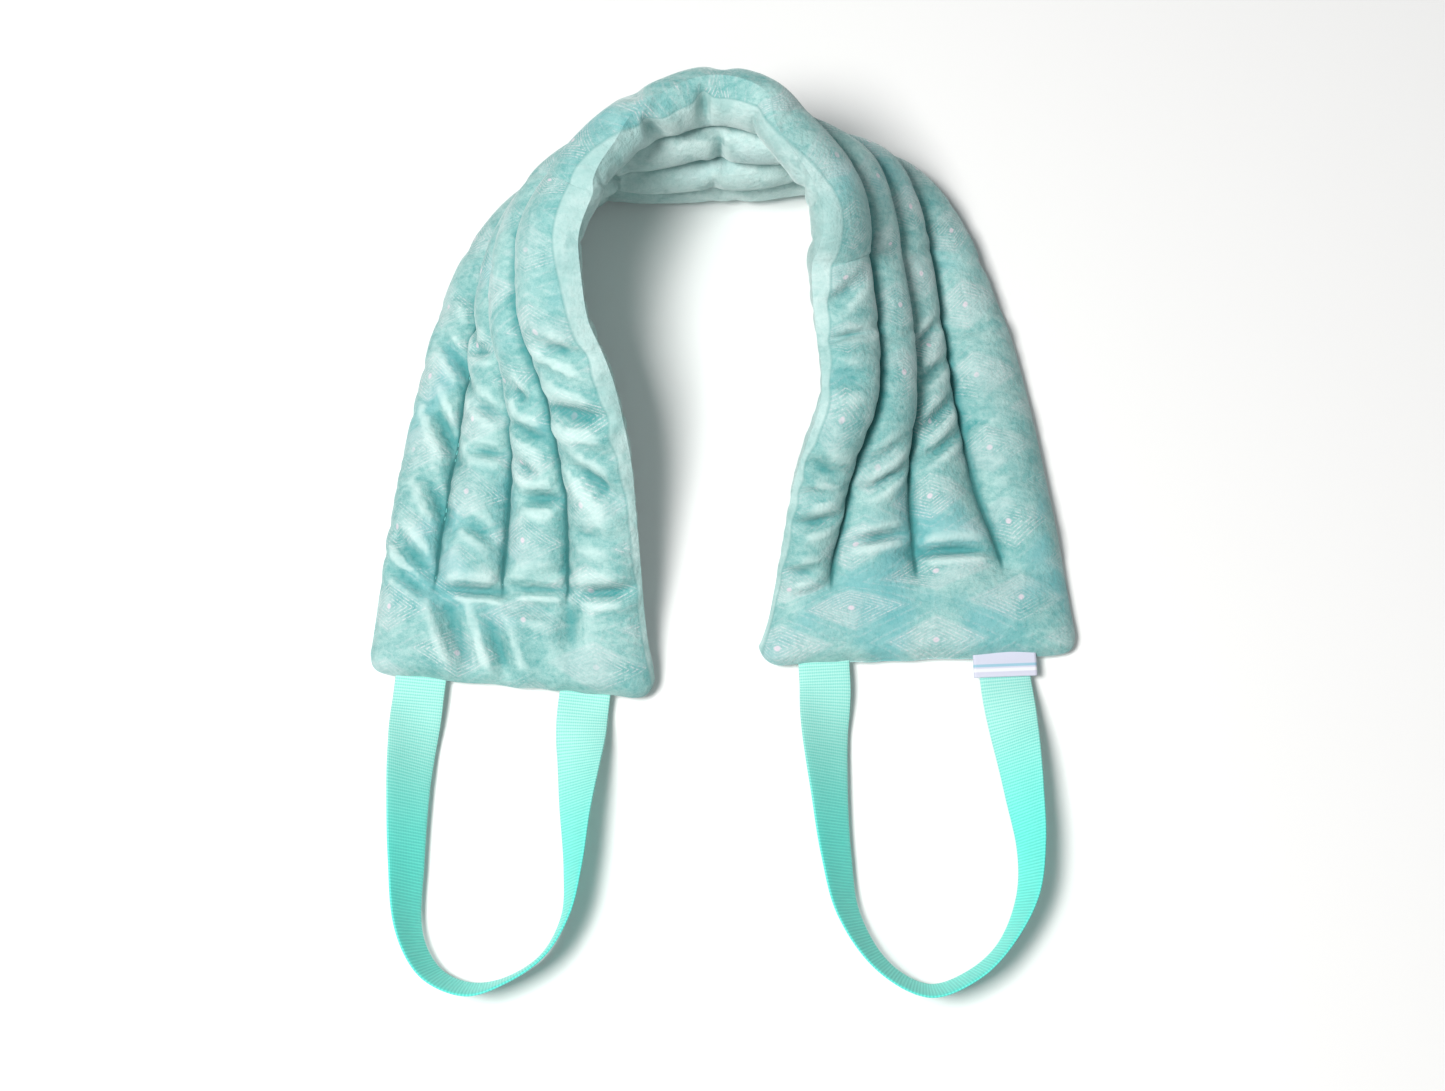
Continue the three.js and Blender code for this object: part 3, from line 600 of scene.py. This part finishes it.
def averaged(values, reach):
    # each value averaged over the cloth round it, along and then across, with the weight
    # exp(-(distance / reach)^2 / 2)
    weights = []
    for line, size in ((alongLine, pad["length"]), (acrossLine, pad["width"] * pad["meanScale"])):
        apart = (line[:, None] - line[None, :]) * size / reach
        share = np.exp(-(apart**2) / 2) * np.gradient(line)[None, :]
        weights.append(share / share.sum(axis=1, keepdims=True))
    return np.einsum("ij,jk...,lk->il...", weights[0], values, weights[1], optimize=True)


def heightOf(points, side):
    # millimetres out from the seam surface, square to it
    return ((points - seamMiddle) * seamNormal).sum(-1) * side


def clothFace(which, folds):
    # the settled cloth with its folds pressed in, on its own side of the seam surface and above the table
    look = filling[which]
    start, dents, fromHem = faceStart(which, folds)
    points = fillFace(which, start, dents, fromHem)
    # no seams run through the pocket bands, so the cloth there settles evenly
    shift = points - start
    inBand = 1 - smoothStep(fromHem, pad["stitchEnd"] - filling["bandFade"], pad["stitchEnd"])
    points = points + (averaged(shift, filling["bandReach"]) - shift) * inBand[..., None]
    out, startOut = heightOf(points, look["side"]), heightOf(start, look["side"])
    dents, ridges = pressedIn(folds, alongLine, acrossLine, filling["pressedBreadth"])
    pressed = (ridges * look["ridge"] - dents * look["crease"]) * pad["channelRise"]
    pressed = pressed * smoothStep(out, *filling["pressedFrom"])
    least = np.minimum(filling["leastCloth"], startOut)
    points = points + seamNormal * (look["side"] * (np.maximum(out + pressed, least) - out))[..., None]
    points[..., 2] = np.maximum(points[..., 2], 0)
    return points


def closedFace(name, outer, side):
    # the outer cloth, the seam surface behind it and a strip between the two all round, as one closed shell
    rows, columns = outer.shape[:2]
    inner = seamMiddle + seamNormal * (side * pad["clearance"])
    inner[..., 2] = np.maximum(inner[..., 2], pad["clearance"])
    count = rows * columns
    grid = np.arange(count).reshape(rows, columns)
    ring = np.concatenate([grid[:-1, 0], grid[-1, :-1], grid[:0:-1, -1], grid[0, :0:-1]])
    follow = np.roll(ring, -1)
    strip = np.stack([ring, follow, follow + count, ring + count], -1)
    faces = np.concatenate([gridFaces(rows, columns), gridFaces(rows, columns, count)[:, ::-1], strip])
    if side < 0:
        faces = faces[:, ::-1]
    uv = np.stack(np.meshgrid(alongLine * pad["length"] * 0.001, acrossLine * pad["width"] * 0.001,
                              indexing="ij"), -1)
    piece = meshOf(name, np.concatenate([outer.reshape(-1, 3), inner.reshape(-1, 3)]) * 0.001, faces,
                   np.concatenate([uv.reshape(-1, 2), uv.reshape(-1, 2)]))
    # millimetres that the cloth lies below its surroundings, fading out beside the edges; the material paints
    # shade where this is above 0 and a highlight where it is below
    height = heightOf(outer, side)
    around = averaged(height, filling["creaseReach"])
    edgeFade = smoothStep(sideDistance(acrossLine), *filling["creaseFromEdge"])
    hemFade = smoothStep(hemDistance(alongLine), *filling["creaseFromHem"])
    crease = (around - height) * edgeFade[None, :] * hemFade[:, None]
    setAttribute(piece, "crease", np.concatenate([crease.ravel(), np.zeros(count)]))
    setAttribute(piece, "pastSeam", np.concatenate([pastSeam(side).ravel(), np.zeros(count)]))
    # the border between outer and inner stays where it is and shades as an edge
    ends = np.empty(len(piece.data.edges) * 2, dtype=np.int32)
    piece.data.edges.foreach_get("vertices", ends)
    onRing = np.zeros(2 * count, dtype=int)
    onRing[ring], onRing[ring + count] = 1, 2
    ends = onRing[ends.reshape(-1, 2)]
    border = (ends[:, 0] > 0) & (ends[:, 0] == ends[:, 1])
    piece.data.attributes.new("sharp_edge", "BOOLEAN", "EDGE").data.foreach_set("value", border)
    piece.data.attributes.new("crease_edge", "FLOAT", "EDGE").data.foreach_set("value", border.astype(float))
    finer = piece.modifiers.new("finer", "SUBSURF")
    finer.levels = 1
    finer.render_levels = 1
    return piece


printedCloth = clothFace("printed", printedFolds)
plainCloth = clothFace("plain", plainFolds)
printedFace = closedFace("printedFace", printedCloth, 1.0)
plainFace = closedFace("plainFace", plainCloth, -1.0)
print("faces filled")


# the pile's colours, the noises that mix them and how much each mark shows
plush = {
    "printed": {
        "deep": (0.085, 0.335, 0.33), "light": (0.47, 0.68, 0.65), "cold": (0.14, 0.44, 0.47),
        "band": (0.085, 0.40, 0.41), "line": (0.66, 0.68, 0.70), "dot": (0.78, 0.64, 0.72),
    },
    "plain": {"deep": (0.36, 0.58, 0.56), "light": (0.70, 0.83, 0.81), "cold": (0.48, 0.67, 0.67)},
    # painted light on the next two lines: shade in the creases of the printed and of the plain cloth (the
    # plain one also darkens the seam between the cloths, as painted shade, and random patches), a highlight
    # on the ridges, shade in the channel seams, and shade where the plain cloth rolls over the neck edge
    "crease": (0.02, 0.24, 0.245), "plainCrease": (0.17, 0.38, 0.37), "ridgeHighlight": (0.70, 0.86, 0.83),
    "seam": (0.02, 0.11, 0.11), "rimShade": (0.26, 0.48, 0.46),
    "surface": {"Roughness": 0.92, "Specular IOR Level": 0.15, "Sheen Weight": 0.5, "Sheen Roughness": 0.38,
                "Sheen Tint": (0.9, 1.0, 0.98, 1.0)},
    "brushed": {"Rotation": (0.3, 0.5, 0.9), "Scale": (1.0, 2.0, 1.4)},
    "tufts": (420.0, 2.0, 0.6), "pile": (1500.0, 2.0, 0.7), "tuftBump": (0.55, 0.0012),
    "pileBump": (0.45, 0.0004),
}
# scale, detail, roughness and distortion of each noise, and the values between which it goes from 0 to 1
patterns = {
    "patches": ((26.0, 3.0, 0.6, 0.8), (0.34, 0.66)), "streaks": ((95.0, 5.0, 0.66, 0.5), (0.32, 0.68)),
    "cold": ((19.0, 2.0, 0.5, 0.4), (0.55, 0.72)), "hollows": ((75.0, 3.0, 0.6, 0.3), (0.56, 0.72)),
    "worn": ((650.0, 3.0, 0.7), (0.36, 0.66)), "faded": ((34.0, 2.0, 0.5), (0.3, 0.62)),
    "stronger": ((17.0, 2.0, 0.5, 0.3), (0.5, 0.62)),
}
shares = {
    "patches": 0.26, "streaks": 0.32, "tufts": 0.55, "tuftBase": 0.3, "pile": 0.6, "pileBase": 0.4,
    "cold": 0.55, "hollows": 0.5, "band": 0.16, "inside": 0.18, "ring": 0.16, "ringFaded": 0.60,
    "border": 0.24, "dot": 0.72, "rimShade": 0.55, "rimShadePatches": -0.3, "clothSeamShade": 0.5, "ridgeHighlight": 0.5,
    "crease": 0.68, "seamShade": 0.75,
}
# in millimetres from where each mark begins to where it ends
reaches = {
    "toPlain": (-0.25, 0.25), "clothSeamShade": (0.1, 0.8), "rimShade": (4.0, 16.0), "ridgeHighlight": (0.5, 2.2),
    "crease": (0.1, 3.0), "seamShade": (0.2, 1.4), "sewn": (-8.0, 2.0),
}
# the print in metres, and the shares of a diamond at which its rings and its outer line lie
diamonds = {
    "apartAcross": 0.078, "apartAlong": 0.03926, "startAcross": 0.0506, "startAlong": 0.014,
    "drift": 0.0265, "rings": 7.0, "ringEdge": 0.64, "edgeFade": 0.06, "ringLine": (0.08, 0.28),
    "dot": 0.0015, "dotFade": (0.6, 1.3), "dotFaded": (0.0, 0.6), "border": 0.84,
    "borderLine": (0.015, 0.05), "ground": (0.5, 1.0),
}


def pattern(vector, name):
    # a noise that goes from 0 to 1 between its two ends
    look, ends = patterns[name]
    return between(noise(vector, *look), *ends)


def near(value, ends):
    # 1 up to the first end, 0 past the second
    return less(1.0, between(value, *ends))


def apartFrom(value, middle):
    # how far a value is from a middle, either way
    return calc("ABSOLUTE", less(value, middle))


def diamondPrint():
    # a half-drop lattice: in p = a + b and q = a - b each whole number pair is a diamond's middle, and the
    # larger of the two distances to it grows evenly from the middle out, so that its steps are rings
    along, across = clothPlace()
    fromStart = less(along, diamonds["startAlong"])
    a = less(less(across, diamonds["startAcross"]), times(fromStart, diamonds["drift"]))
    a = calc("DIVIDE", a, diamonds["apartAcross"])
    b = calc("DIVIDE", fromStart, diamonds["apartAlong"])
    left = [less(value, calc("ROUND", value)) for value in (plus(a, b), less(a, b))]
    away = [calc("ABSOLUTE", value) for value in left]
    out = times(calc("MAXIMUM", away[0], away[1]), 2.0)
    # metres from the middle, across and along the pad
    x = times(plus(left[0], left[1]), diamonds["apartAcross"] / 2)
    y = times(less(left[0], left[1]), diamonds["apartAlong"] / 2)
    far = calc("SQRT", plus(times(x, x), times(y, y)))
    turns = calc("FRACT", times(out, diamonds["rings"] / diamonds["ringEdge"]))
    inside = near(out, (diamonds["ringEdge"], diamonds["ringEdge"] + diamonds["edgeFade"]))
    ring = times(near(apartFrom(turns, 0.5), diamonds["ringLine"]), inside)
    middle = near(far, [diamonds["dot"] * share for share in diamonds["dotFade"]])
    border = near(apartFrom(out, diamonds["border"]), diamonds["borderLine"])
    return ring, middle, border, inside, between(out, *diamonds["ground"])


def plushGround(place, patches, tufts, pile):
    # brushed pile: patches, streaks and tufts mix the deep and the light colour, with colder patches over
    # them, and the plain cloth has darker hollows
    brushed = node("ShaderNodeMapping", {"Vector": place, **plush["brushed"]}).outputs[0]
    streaks = times(pattern(brushed, "streaks"), shares["streaks"])
    tufted = times(less(tufts, shares["tuftBase"]), shares["tufts"])
    piled = times(less(pile, shares["pileBase"]), shares["pile"])
    mottle = plus(times(patches, shares["patches"]), streaks, tufted, piled)
    cold = times(pattern(place, "cold"), shares["cold"])
    grounds = [mixColor(cold, mixColor(mottle, plush[cloth]["deep"], plush[cloth]["light"]),
                        plush[cloth]["cold"]) for cloth in ("printed", "plain")]
    hollows = times(pattern(place, "hollows"), shares["hollows"])
    return grounds[0], mixColor(hollows, grounds[1], plush["plainCrease"])


def printedColor(place, ground, patches):
    # the ground between the diamonds is a stronger turquoise in places, inside them it is greyed, and the
    # rings, the broken lines between the diamonds and the dots are worn
    look = plush["printed"]
    ring, middle, border, inside, outside = diamondPrint()
    worn, faded = pattern(place, "worn"), pattern(place, "faded")
    stronger = times(outside, pattern(place, "stronger"), shares["band"])
    color = mixColor(stronger, ground, look["band"])
    color = mixColor(times(inside, patches, shares["inside"]), color, look["line"])
    ringShare = plus(times(faded, shares["ringFaded"]), shares["ring"])
    color = mixColor(times(ring, worn, ringShare), color, look["line"])
    color = mixColor(times(border, worn, faded, shares["border"]), color, look["line"])
    dots = times(middle, shares["dot"], between(faded, *diamonds["dotFaded"]))
    return mixColor(dots, color, look["dot"])


def stitchedSeams():
    # 1 in the three channel seams where they are sewn, by the distance to them in the cloth; the material
    # paints shade there
    along, across = clothPlace()
    channels = calc("DIVIDE", across, pad["width"] * 0.001 / pad["channels"])
    toSeam = times(apartFrom(channels, calc("ROUND", channels)), pad["width"] / pad["channels"])
    fromHems = calc("MINIMUM", along, less(pad["length"] * 0.001, along))
    sewn = between(fromHems, *[(pad["stitchEnd"] + reach) * 0.001 for reach in reaches["sewn"]])
    middle = pad["channels"] / 2
    inner = calc("LESS_THAN", apartFrom(channels, middle), middle - 0.5)
    return times(near(toSeam, reaches["seamShade"]), sewn, inner)


def dressInPlush(piece, name):
    # the print is on the outer side of the seam between the cloths, the plain pile past it
    material = newMaterial(name)
    place = objectPlace()
    patches = pattern(place, "patches")
    tufts, pile = noise(place, *plush["tufts"]), noise(place, *plush["pile"])
    printed, plain = plushGround(place, patches, tufts, pile)
    color = printedColor(place, printed, patches)
    beyond = attribute("pastSeam")
    onPlain = between(beyond, *reaches["toPlain"])
    # painted shade where the plain cloth rolls over the neck edge, uneven in spots
    rimShadeAmount = plus(times(patches, shares["rimShadePatches"]), shares["rimShade"])
    rimShade = times(near(beyond, reaches["rimShade"]), rimShadeAmount)
    color = mixColor(onPlain, color, mixColor(rimShade, plain, plush["rimShade"]))
    # the painted shade colour for the creases, on either cloth
    creaseShadeColor = mixColor(onPlain, plush["crease"], plush["plainCrease"])
    # painted shade along the seam between the two cloths
    clothSeamShade = near(calc("ABSOLUTE", beyond), reaches["clothSeamShade"])
    color = mixColor(times(clothSeamShade, shares["clothSeamShade"]), color, plush["plainCrease"])
    # painted highlight on the ridges, and painted shade down in the creases
    crease = attribute("crease")
    ridgeHighlight = times(between(times(crease, -1.0), *reaches["ridgeHighlight"]), shares["ridgeHighlight"])
    color = mixColor(ridgeHighlight, color, plush["ridgeHighlight"])
    sunk = times(between(crease, *reaches["crease"]), shares["crease"])
    color = mixColor(sunk, color, creaseShadeColor)
    # painted shade in the channel seams
    color = mixColor(times(stitchedSeams(), shares["seamShade"]), color, plush["seam"])
    finish(piece, material, color, plush["surface"], (tufts, *plush["tuftBump"]), (pile, *plush["pileBump"]))


dressInPlush(printedFace, "printedPlush")
dressInPlush(plainFace, "plainPlush")
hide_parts("printed_face")
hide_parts("plain_face")
print("plush done")


# the thread in the channel seams, in millimetres
stitches = {
    "length": 3.4, "apart": 4.3, "radius": 0.32, "thinnest": 0.35, "bow": 0.35, "sunk": 0.1,
    "around": 6, "steps": 5, "seamFree": 2.0, "twist": (2600.0, 2.0), "surface": {"Roughness": 0.6},
    "dark": (0.10, 0.44, 0.43), "bright": (0.2, 0.6, 0.57),
}


def stitchRow(line, normals):
    # short bowed threads, end to end: a circle carried along each stitch, its middle lifted by a sine and its
    # radius drawn in at both ends by the root of that sine
    far = lengthAlong(line)
    starts = np.arange(0, far[-1] - stitches["length"], stitches["apart"])
    t = np.linspace(0, 1, stitches["steps"])
    at = starts[:, None] + t[None, :] * stitches["length"]
    centre = np.stack([np.interp(at, far, line[:, k]) for k in range(3)], -1)
    up = unitVectors(np.stack([np.interp(at, far, normals[:, k]) for k in range(3)], -1))
    ahead = unitVectors(np.gradient(centre, axis=1))
    beside = np.cross(ahead, up)
    centre = centre + up * (np.sin(np.pi * t) * stitches["bow"] - stitches["sunk"])[None, :, None]
    thin = stitches["thinnest"]
    radius = stitches["radius"] * (thin + (1 - thin) * np.sin(np.pi * t) ** 0.5)
    angle = np.arange(stitches["around"]) * 2 * np.pi / stitches["around"]
    ring = (beside[:, :, None] * np.cos(angle)[None, None, :, None]
            + up[:, :, None] * np.sin(angle)[None, None, :, None])
    points = centre[:, :, None] + ring * radius[None, :, None, None]
    single = tubeFaces(stitches["steps"], stitches["around"])
    first = np.arange(len(starts)) * stitches["steps"] * stitches["around"]
    return points.reshape(-1, 3), (single[None] + first[:, None, None]).reshape(-1, 4)


allPoints, allFaces, used = [], [], 0
sewn = hemDistance(alongLine) > pad["stitchEnd"] - stitches["seamFree"]
for cloth, side in ((printedCloth, 1.0), (plainCloth, -1.0)):
    for seam in range(1, pad["channels"]):
        place = seam * pad["channelSteps"]
        points, faces = stitchRow(cloth[sewn, place], seamNormal[sewn, place] * side)
        allPoints.append(points)
        allFaces.append(faces + used)
        used += len(points)
threads = meshOf("channelStitches", np.concatenate(allPoints) * 0.001, np.concatenate(allFaces))
material = newMaterial("stitchThread")
twist = noise(objectPlace(), *stitches["twist"])
finish(threads, material, mixColor(twist, stitches["dark"], stitches["bright"]), stitches["surface"])
print("stitches sewn")


# the handles: sizes in millimetres, the weave in metres
webbing = {
    "width": 25.0, "thickness": 1.6, "reach": 158.0, "tail": 12.0, "level": 12.0, "clear": 5.5,
    "steps": 340, "across": 22, "edgePower": 10, "edgeThin": 0.55,
    # painted light: the colours on this line are the band near its ends, lying flat to the light, and those
    # on the next line the same band further along, standing on edge
    "bright": (0.47, 0.83, 0.75), "deep": (0.12, 0.57, 0.49),
    "onEdgeBright": (0.20, 0.94, 0.82), "onEdgeDeep": (0.03, 0.61, 0.51), "fromEnd": (0.03, 0.11),
    "ribs": 0.0015, "warp": 0.0011, "ribShare": 0.7, "warpShare": 0.3,
    "yarn": (1400.0, 3.0, 0.7), "blotch": (60.0, 2.0, 0.5),
    "weaveShade": 0.7, "yarnShade": 0.25, "blotchShade": 0.15,
    "surface": {"Roughness": 0.62, "Sheen Weight": 0.2, "Sheen Roughness": 0.4},
    "weaveBump": (0.6, 0.0003), "yarnBump": (0.3, 0.0001),
}
# each loop's stations: beside the middle of its two strands in half distances between them, out from the hem
# in reaches, the band's tilt in degrees, and how far it has dropped from the hem to its height over the table
loopColumns = ["side", "out", "tilt", "drop"]
leftHandle = {"across": (0.19, 0.785), "loop": np.array([
    [-0.99, 0.22, 28, 0.7], [-0.961, 0.345, 41, 1], [-0.864, 0.575, 54, 1], [-0.729, 0.78, 66, 1],
    [-0.42, 0.9, 69, 1], [0.044, 0.94, 71, 1], [0.498, 0.9, 79, 1], [0.884, 0.815, 81, 1],
    [1.087, 0.69, 78, 1], [1.106, 0.55, 68, 1], [1.06, 0.38, 53, 1], [1.03, 0.22, 32, 0.7],
])}
rightHandle = {"across": (0.22, 0.82), "loop": np.array([
    [-1.04, 0.2, 22, 0.6], [-1.07, 0.3, 36, 0.95], [-1.1, 0.42, 48, 1], [-1.13, 0.6, 64, 1],
    [-1.05, 0.75, 71, 1], [-0.78, 0.89, 78, 1], [-0.41, 0.98, 75, 1], [0.07, 1.02, 71, 1],
    [0.55, 0.94, 69, 1], [0.88, 0.78, 62, 1], [0.98, 0.6, 53, 1], [1.02, 0.4, 43, 1],
    [1.03, 0.22, 26, 0.7],
])}


def hemPlace(end, across):
    # where the seam surface meets the hem, at that share of its width
    return seamSurface(np.array([float(end)]), np.array([across]))[0, 0]


def hemFrame(end, strands):
    # the middle between two strands, half the distance between them, and the level directions across and out
    first, second = hemPlace(end, strands[0]), hemPlace(end, strands[1])
    side = (second - first) * (1, 1, 0)
    side = side / lengthOf(side)
    travel = travelAt(np.array([float(end)]))[0]
    out = np.array([travel[0], travel[1], 0]) * (-1 if end == 0 else 1)
    out = unitVectors(out - side * out.dot(side))
    return (first + second) / 2, lengthOf(second - first) / 2, side, out


def handleRows(end, handle):
    # the loop's centres over the table and the directions of its width, tail to tail
    origin, half, side, out = hemFrame(end, handle["across"])
    loop = handle["loop"]
    beside, ahead, tilts, drops = [column(loop, loopColumns, key) for key in loopColumns]
    centres = origin + side * (beside[:, None] * half) + out * (ahead[:, None] * webbing["reach"])
    after = np.minimum(np.arange(len(loop)) + 1, len(loop) - 1)
    before = np.maximum(np.arange(len(loop)) - 1, 0)
    travel = unitVectors((centres[after] - centres[before]) * (1, 1, 0))
    away = side * -(travel @ out)[:, None] + out * (travel @ side)[:, None]
    tilt = np.radians(tilts)
    low = webbing["clear"] + np.sin(tilt) * webbing["width"] / 2
    centres[:, 2] = origin[2] + (low - origin[2]) * drops
    widths = away * np.cos(tilt)[:, None]
    widths[:, 2] = np.sin(tilt)
    reaches = np.array([-webbing["tail"], 0, webbing["level"]])[:, None]
    first = hemPlace(end, handle["across"][0]) + out * reaches
    last = (hemPlace(end, handle["across"][1]) + out * reaches)[::-1]
    return (np.concatenate([first, centres, last]),
            np.concatenate([np.tile(-side, (3, 1)), widths, np.tile(side, (3, 1))]))


def webbingBand(name, end, handle):
    # a flat section, its thickness falling as 1 - edgeThin |w|^edgePower towards its edges, carried along a
    # smooth curve, its width turning with the stations
    centres, widths = handleRows(end, handle)
    knots = lengthAlong(centres)
    far = np.linspace(0, knots[-1], webbing["steps"] + 1)
    line = smoothCurve(knots, centres, far)
    travel = unitVectors(np.gradient(line, axis=0))
    across = smoothCurve(knots, widths, far)
    across = unitVectors(across - travel * (across * travel).sum(-1, keepdims=True))
    up = np.cross(travel, across)
    half = webbing["across"] // 2
    w = np.cos(np.linspace(0, np.pi, half + 1))
    top = np.stack([w, 1.0 - np.abs(w) ** webbing["edgePower"] * webbing["edgeThin"]], -1)
    profile = np.concatenate([top, top[::-1] * (1, -1)])
    points = (line[:, None] + across[:, None] * (profile[None, :, :1] * webbing["width"] / 2)
              + up[:, None] * (profile[None, :, 1:] * webbing["thickness"] / 2))
    rows, columns = points.shape[:2]
    wide = (profile[None, :, 0] + 1) * webbing["width"] * 0.0005
    uv = np.stack(np.broadcast_arrays(far[:, None] * 0.001, wide), -1)
    band = meshOf(name, points * 0.001, tubeFaces(rows, columns), uv)
    # metres of webbing to the nearer end
    setAttribute(band, "toEnd", np.repeat(np.minimum(far, far[-1] - far) * 0.001, columns))
    return band


leftBand = webbingBand("leftHandle", 0, leftHandle)
rightBand = webbingBand("rightHandle", 1, rightHandle)


def waved(value, length):
    # a sine of that wavelength, from 0 to 1
    turn = times(value, 2 * np.pi / length)
    return plus(times(calc("SINE", turn), 0.5), 0.5)


def dressInWebbing(bands):
    # crosswise ribs with a finer warp over them, worked in the band's own length and width
    material = newMaterial("mintWebbing")
    along, across = clothPlace()
    ribs, warp = waved(along, webbing["ribs"]), waved(across, webbing["warp"])
    weave = plus(times(ribs, webbing["ribShare"]), times(warp, webbing["warpShare"]))
    place = objectPlace()
    yarn, blotch = noise(place, *webbing["yarn"]), noise(place, *webbing["blotch"])
    shade = plus(times(weave, webbing["weaveShade"]), times(yarn, webbing["yarnShade"]),
                 times(blotch, webbing["blotchShade"]))
    # painted light: paler near the ends, where the band lies flat to the light, and a more saturated green
    # further along, where it stands on edge
    flatLitTone = mixColor(shade, webbing["deep"], webbing["bright"])
    onEdgeTone = mixColor(shade, webbing["onEdgeDeep"], webbing["onEdgeBright"])
    color = mixColor(between(attribute("toEnd"), *webbing["fromEnd"]), flatLitTone, onEdgeTone)
    finish(bands[0], material, color, webbing["surface"],
           (weave, *webbing["weaveBump"]), (yarn, *webbing["yarnBump"]))
    for band in bands[1:]:
        band.data.materials.append(material)


dressInWebbing((leftBand, rightBand))
for band, cadNode in ((leftBand, "handle_left"), (rightBand, "handle_right")):
    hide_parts(cadNode)
print("webbing woven")


# the ribbon label: sizes in millimetres, its stripes in metres from the fold
label = {
    "width": 31.0, "reach": 10.0, "tail": 7.0, "thickness": 0.45, "across": 0.22, "gap": 0.3,
    "bendSteps": 16, "leafSteps": 11, "acrossSteps": 24,
    "ground": (0.60, 0.61, 0.73), "pale": (0.78, 0.79, 0.84), "stripe": (0.24, 0.50, 0.62),
    "stripeAt": 0.0058, "stripeEdge": (0.0005, 0.0009), "stripeShare": 0.85,
    "paleAt": 0.0035, "paleEdge": (0.0006, 0.0011), "weft": 0.0005, "weftBump": (0.25, 0.0001),
    "surface": {"Roughness": 0.42, "Sheen Weight": 0.15},
}


def foldedRibbon():
    # an even wall round a hairpin: out along the lower leaf, half a turn, and back along the upper leaf
    _, _, side, out = hemFrame(1, rightHandle["across"])
    middle = label["thickness"]
    turn = np.linspace(-np.pi / 2, np.pi / 2, label["bendSteps"] + 1)
    bend = label["reach"] - 1.5 * label["thickness"]
    lower = np.linspace(-label["tail"], bend, label["leafSteps"] + 1)[:-1]
    upper = lower[::-1]
    x = np.concatenate([lower, bend + middle * np.cos(turn), upper])
    z = np.concatenate([np.full(len(lower), -middle), middle * np.sin(turn), np.full(len(upper), middle)])
    leaf = np.stack([x, z], -1)
    flow = unitVectors(np.gradient(leaf, axis=0))
    outward = np.stack([flow[:, 1], -flow[:, 0]], -1) * (label["thickness"] / 2)
    w = np.linspace(-0.5, 0.5, label["acrossSteps"] + 1) * label["width"]
    centre = hemPlace(1, label["across"])
    centre[2] += webbing["thickness"] / 2 + label["gap"] + 1.5 * label["thickness"]
    up = np.array([0, 0, 1.0])
    profile = np.concatenate([leaf + outward, (leaf - outward)[::-1]])
    points = (centre + out * profile[None, :, :1] + up * profile[None, :, 1:] + side * w[:, None, None])
    rows, columns = points.shape[:2]
    lengths = lengthAlong(leaf)
    lengths = np.concatenate([lengths, lengths[::-1]]) * 0.001
    uv = np.stack(np.broadcast_arrays(lengths[None, :], (w[:, None] + label["width"] / 2) * 0.001), -1)
    piece = meshOf("ribbonLabel", points * 0.001, tubeFaces(rows, columns, turned=True), uv)
    return piece, float(lengths.max())


ribbon, ribbonLength = foldedRibbon()
material = newMaterial("lilacRibbon")
along, across = clothPlace()
fromFold = apartFrom(along, ribbonLength / 2)
stripe = near(apartFrom(fromFold, label["stripeAt"]), label["stripeEdge"])
paleBand = near(apartFrom(fromFold, label["paleAt"]), label["paleEdge"])
weft = calc("SINE", times(across, 2 * np.pi / label["weft"]))
color = mixColor(paleBand, label["ground"], label["pale"])
color = mixColor(times(stripe, label["stripeShare"]), color, label["stripe"])
finish(ribbon, material, color, label["surface"], (weft, *label["weftBump"]))
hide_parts("ribbon_label")
print("label folded")


# the table, in metres
tabletop = {"half": 3.0, "level": -0.0002, "mottle": 3.0, "surface": {"Roughness": 0.7},
            "dark": (0.865, 0.865, 0.86), "pale": (0.88, 0.88, 0.875)}

corners = np.array([[-1, -1, 0], [1, -1, 0], [1, 1, 0], [-1, 1, 0]], float) * tabletop["half"]
corners[:, 2] = tabletop["level"]
table = meshOf("tableTop", corners, np.array([[0, 1, 2, 3]]), smooth=False)
material = newMaterial("whiteTable")
mottle = noise(objectPlace(), tabletop["mottle"])
finish(table, material, mixColor(mottle, tabletop["dark"], tabletop["pale"]), tabletop["surface"])

for piece in (printedFace, plainFace, threads, leftBand, rightBand, ribbon):
    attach(piece, "root")
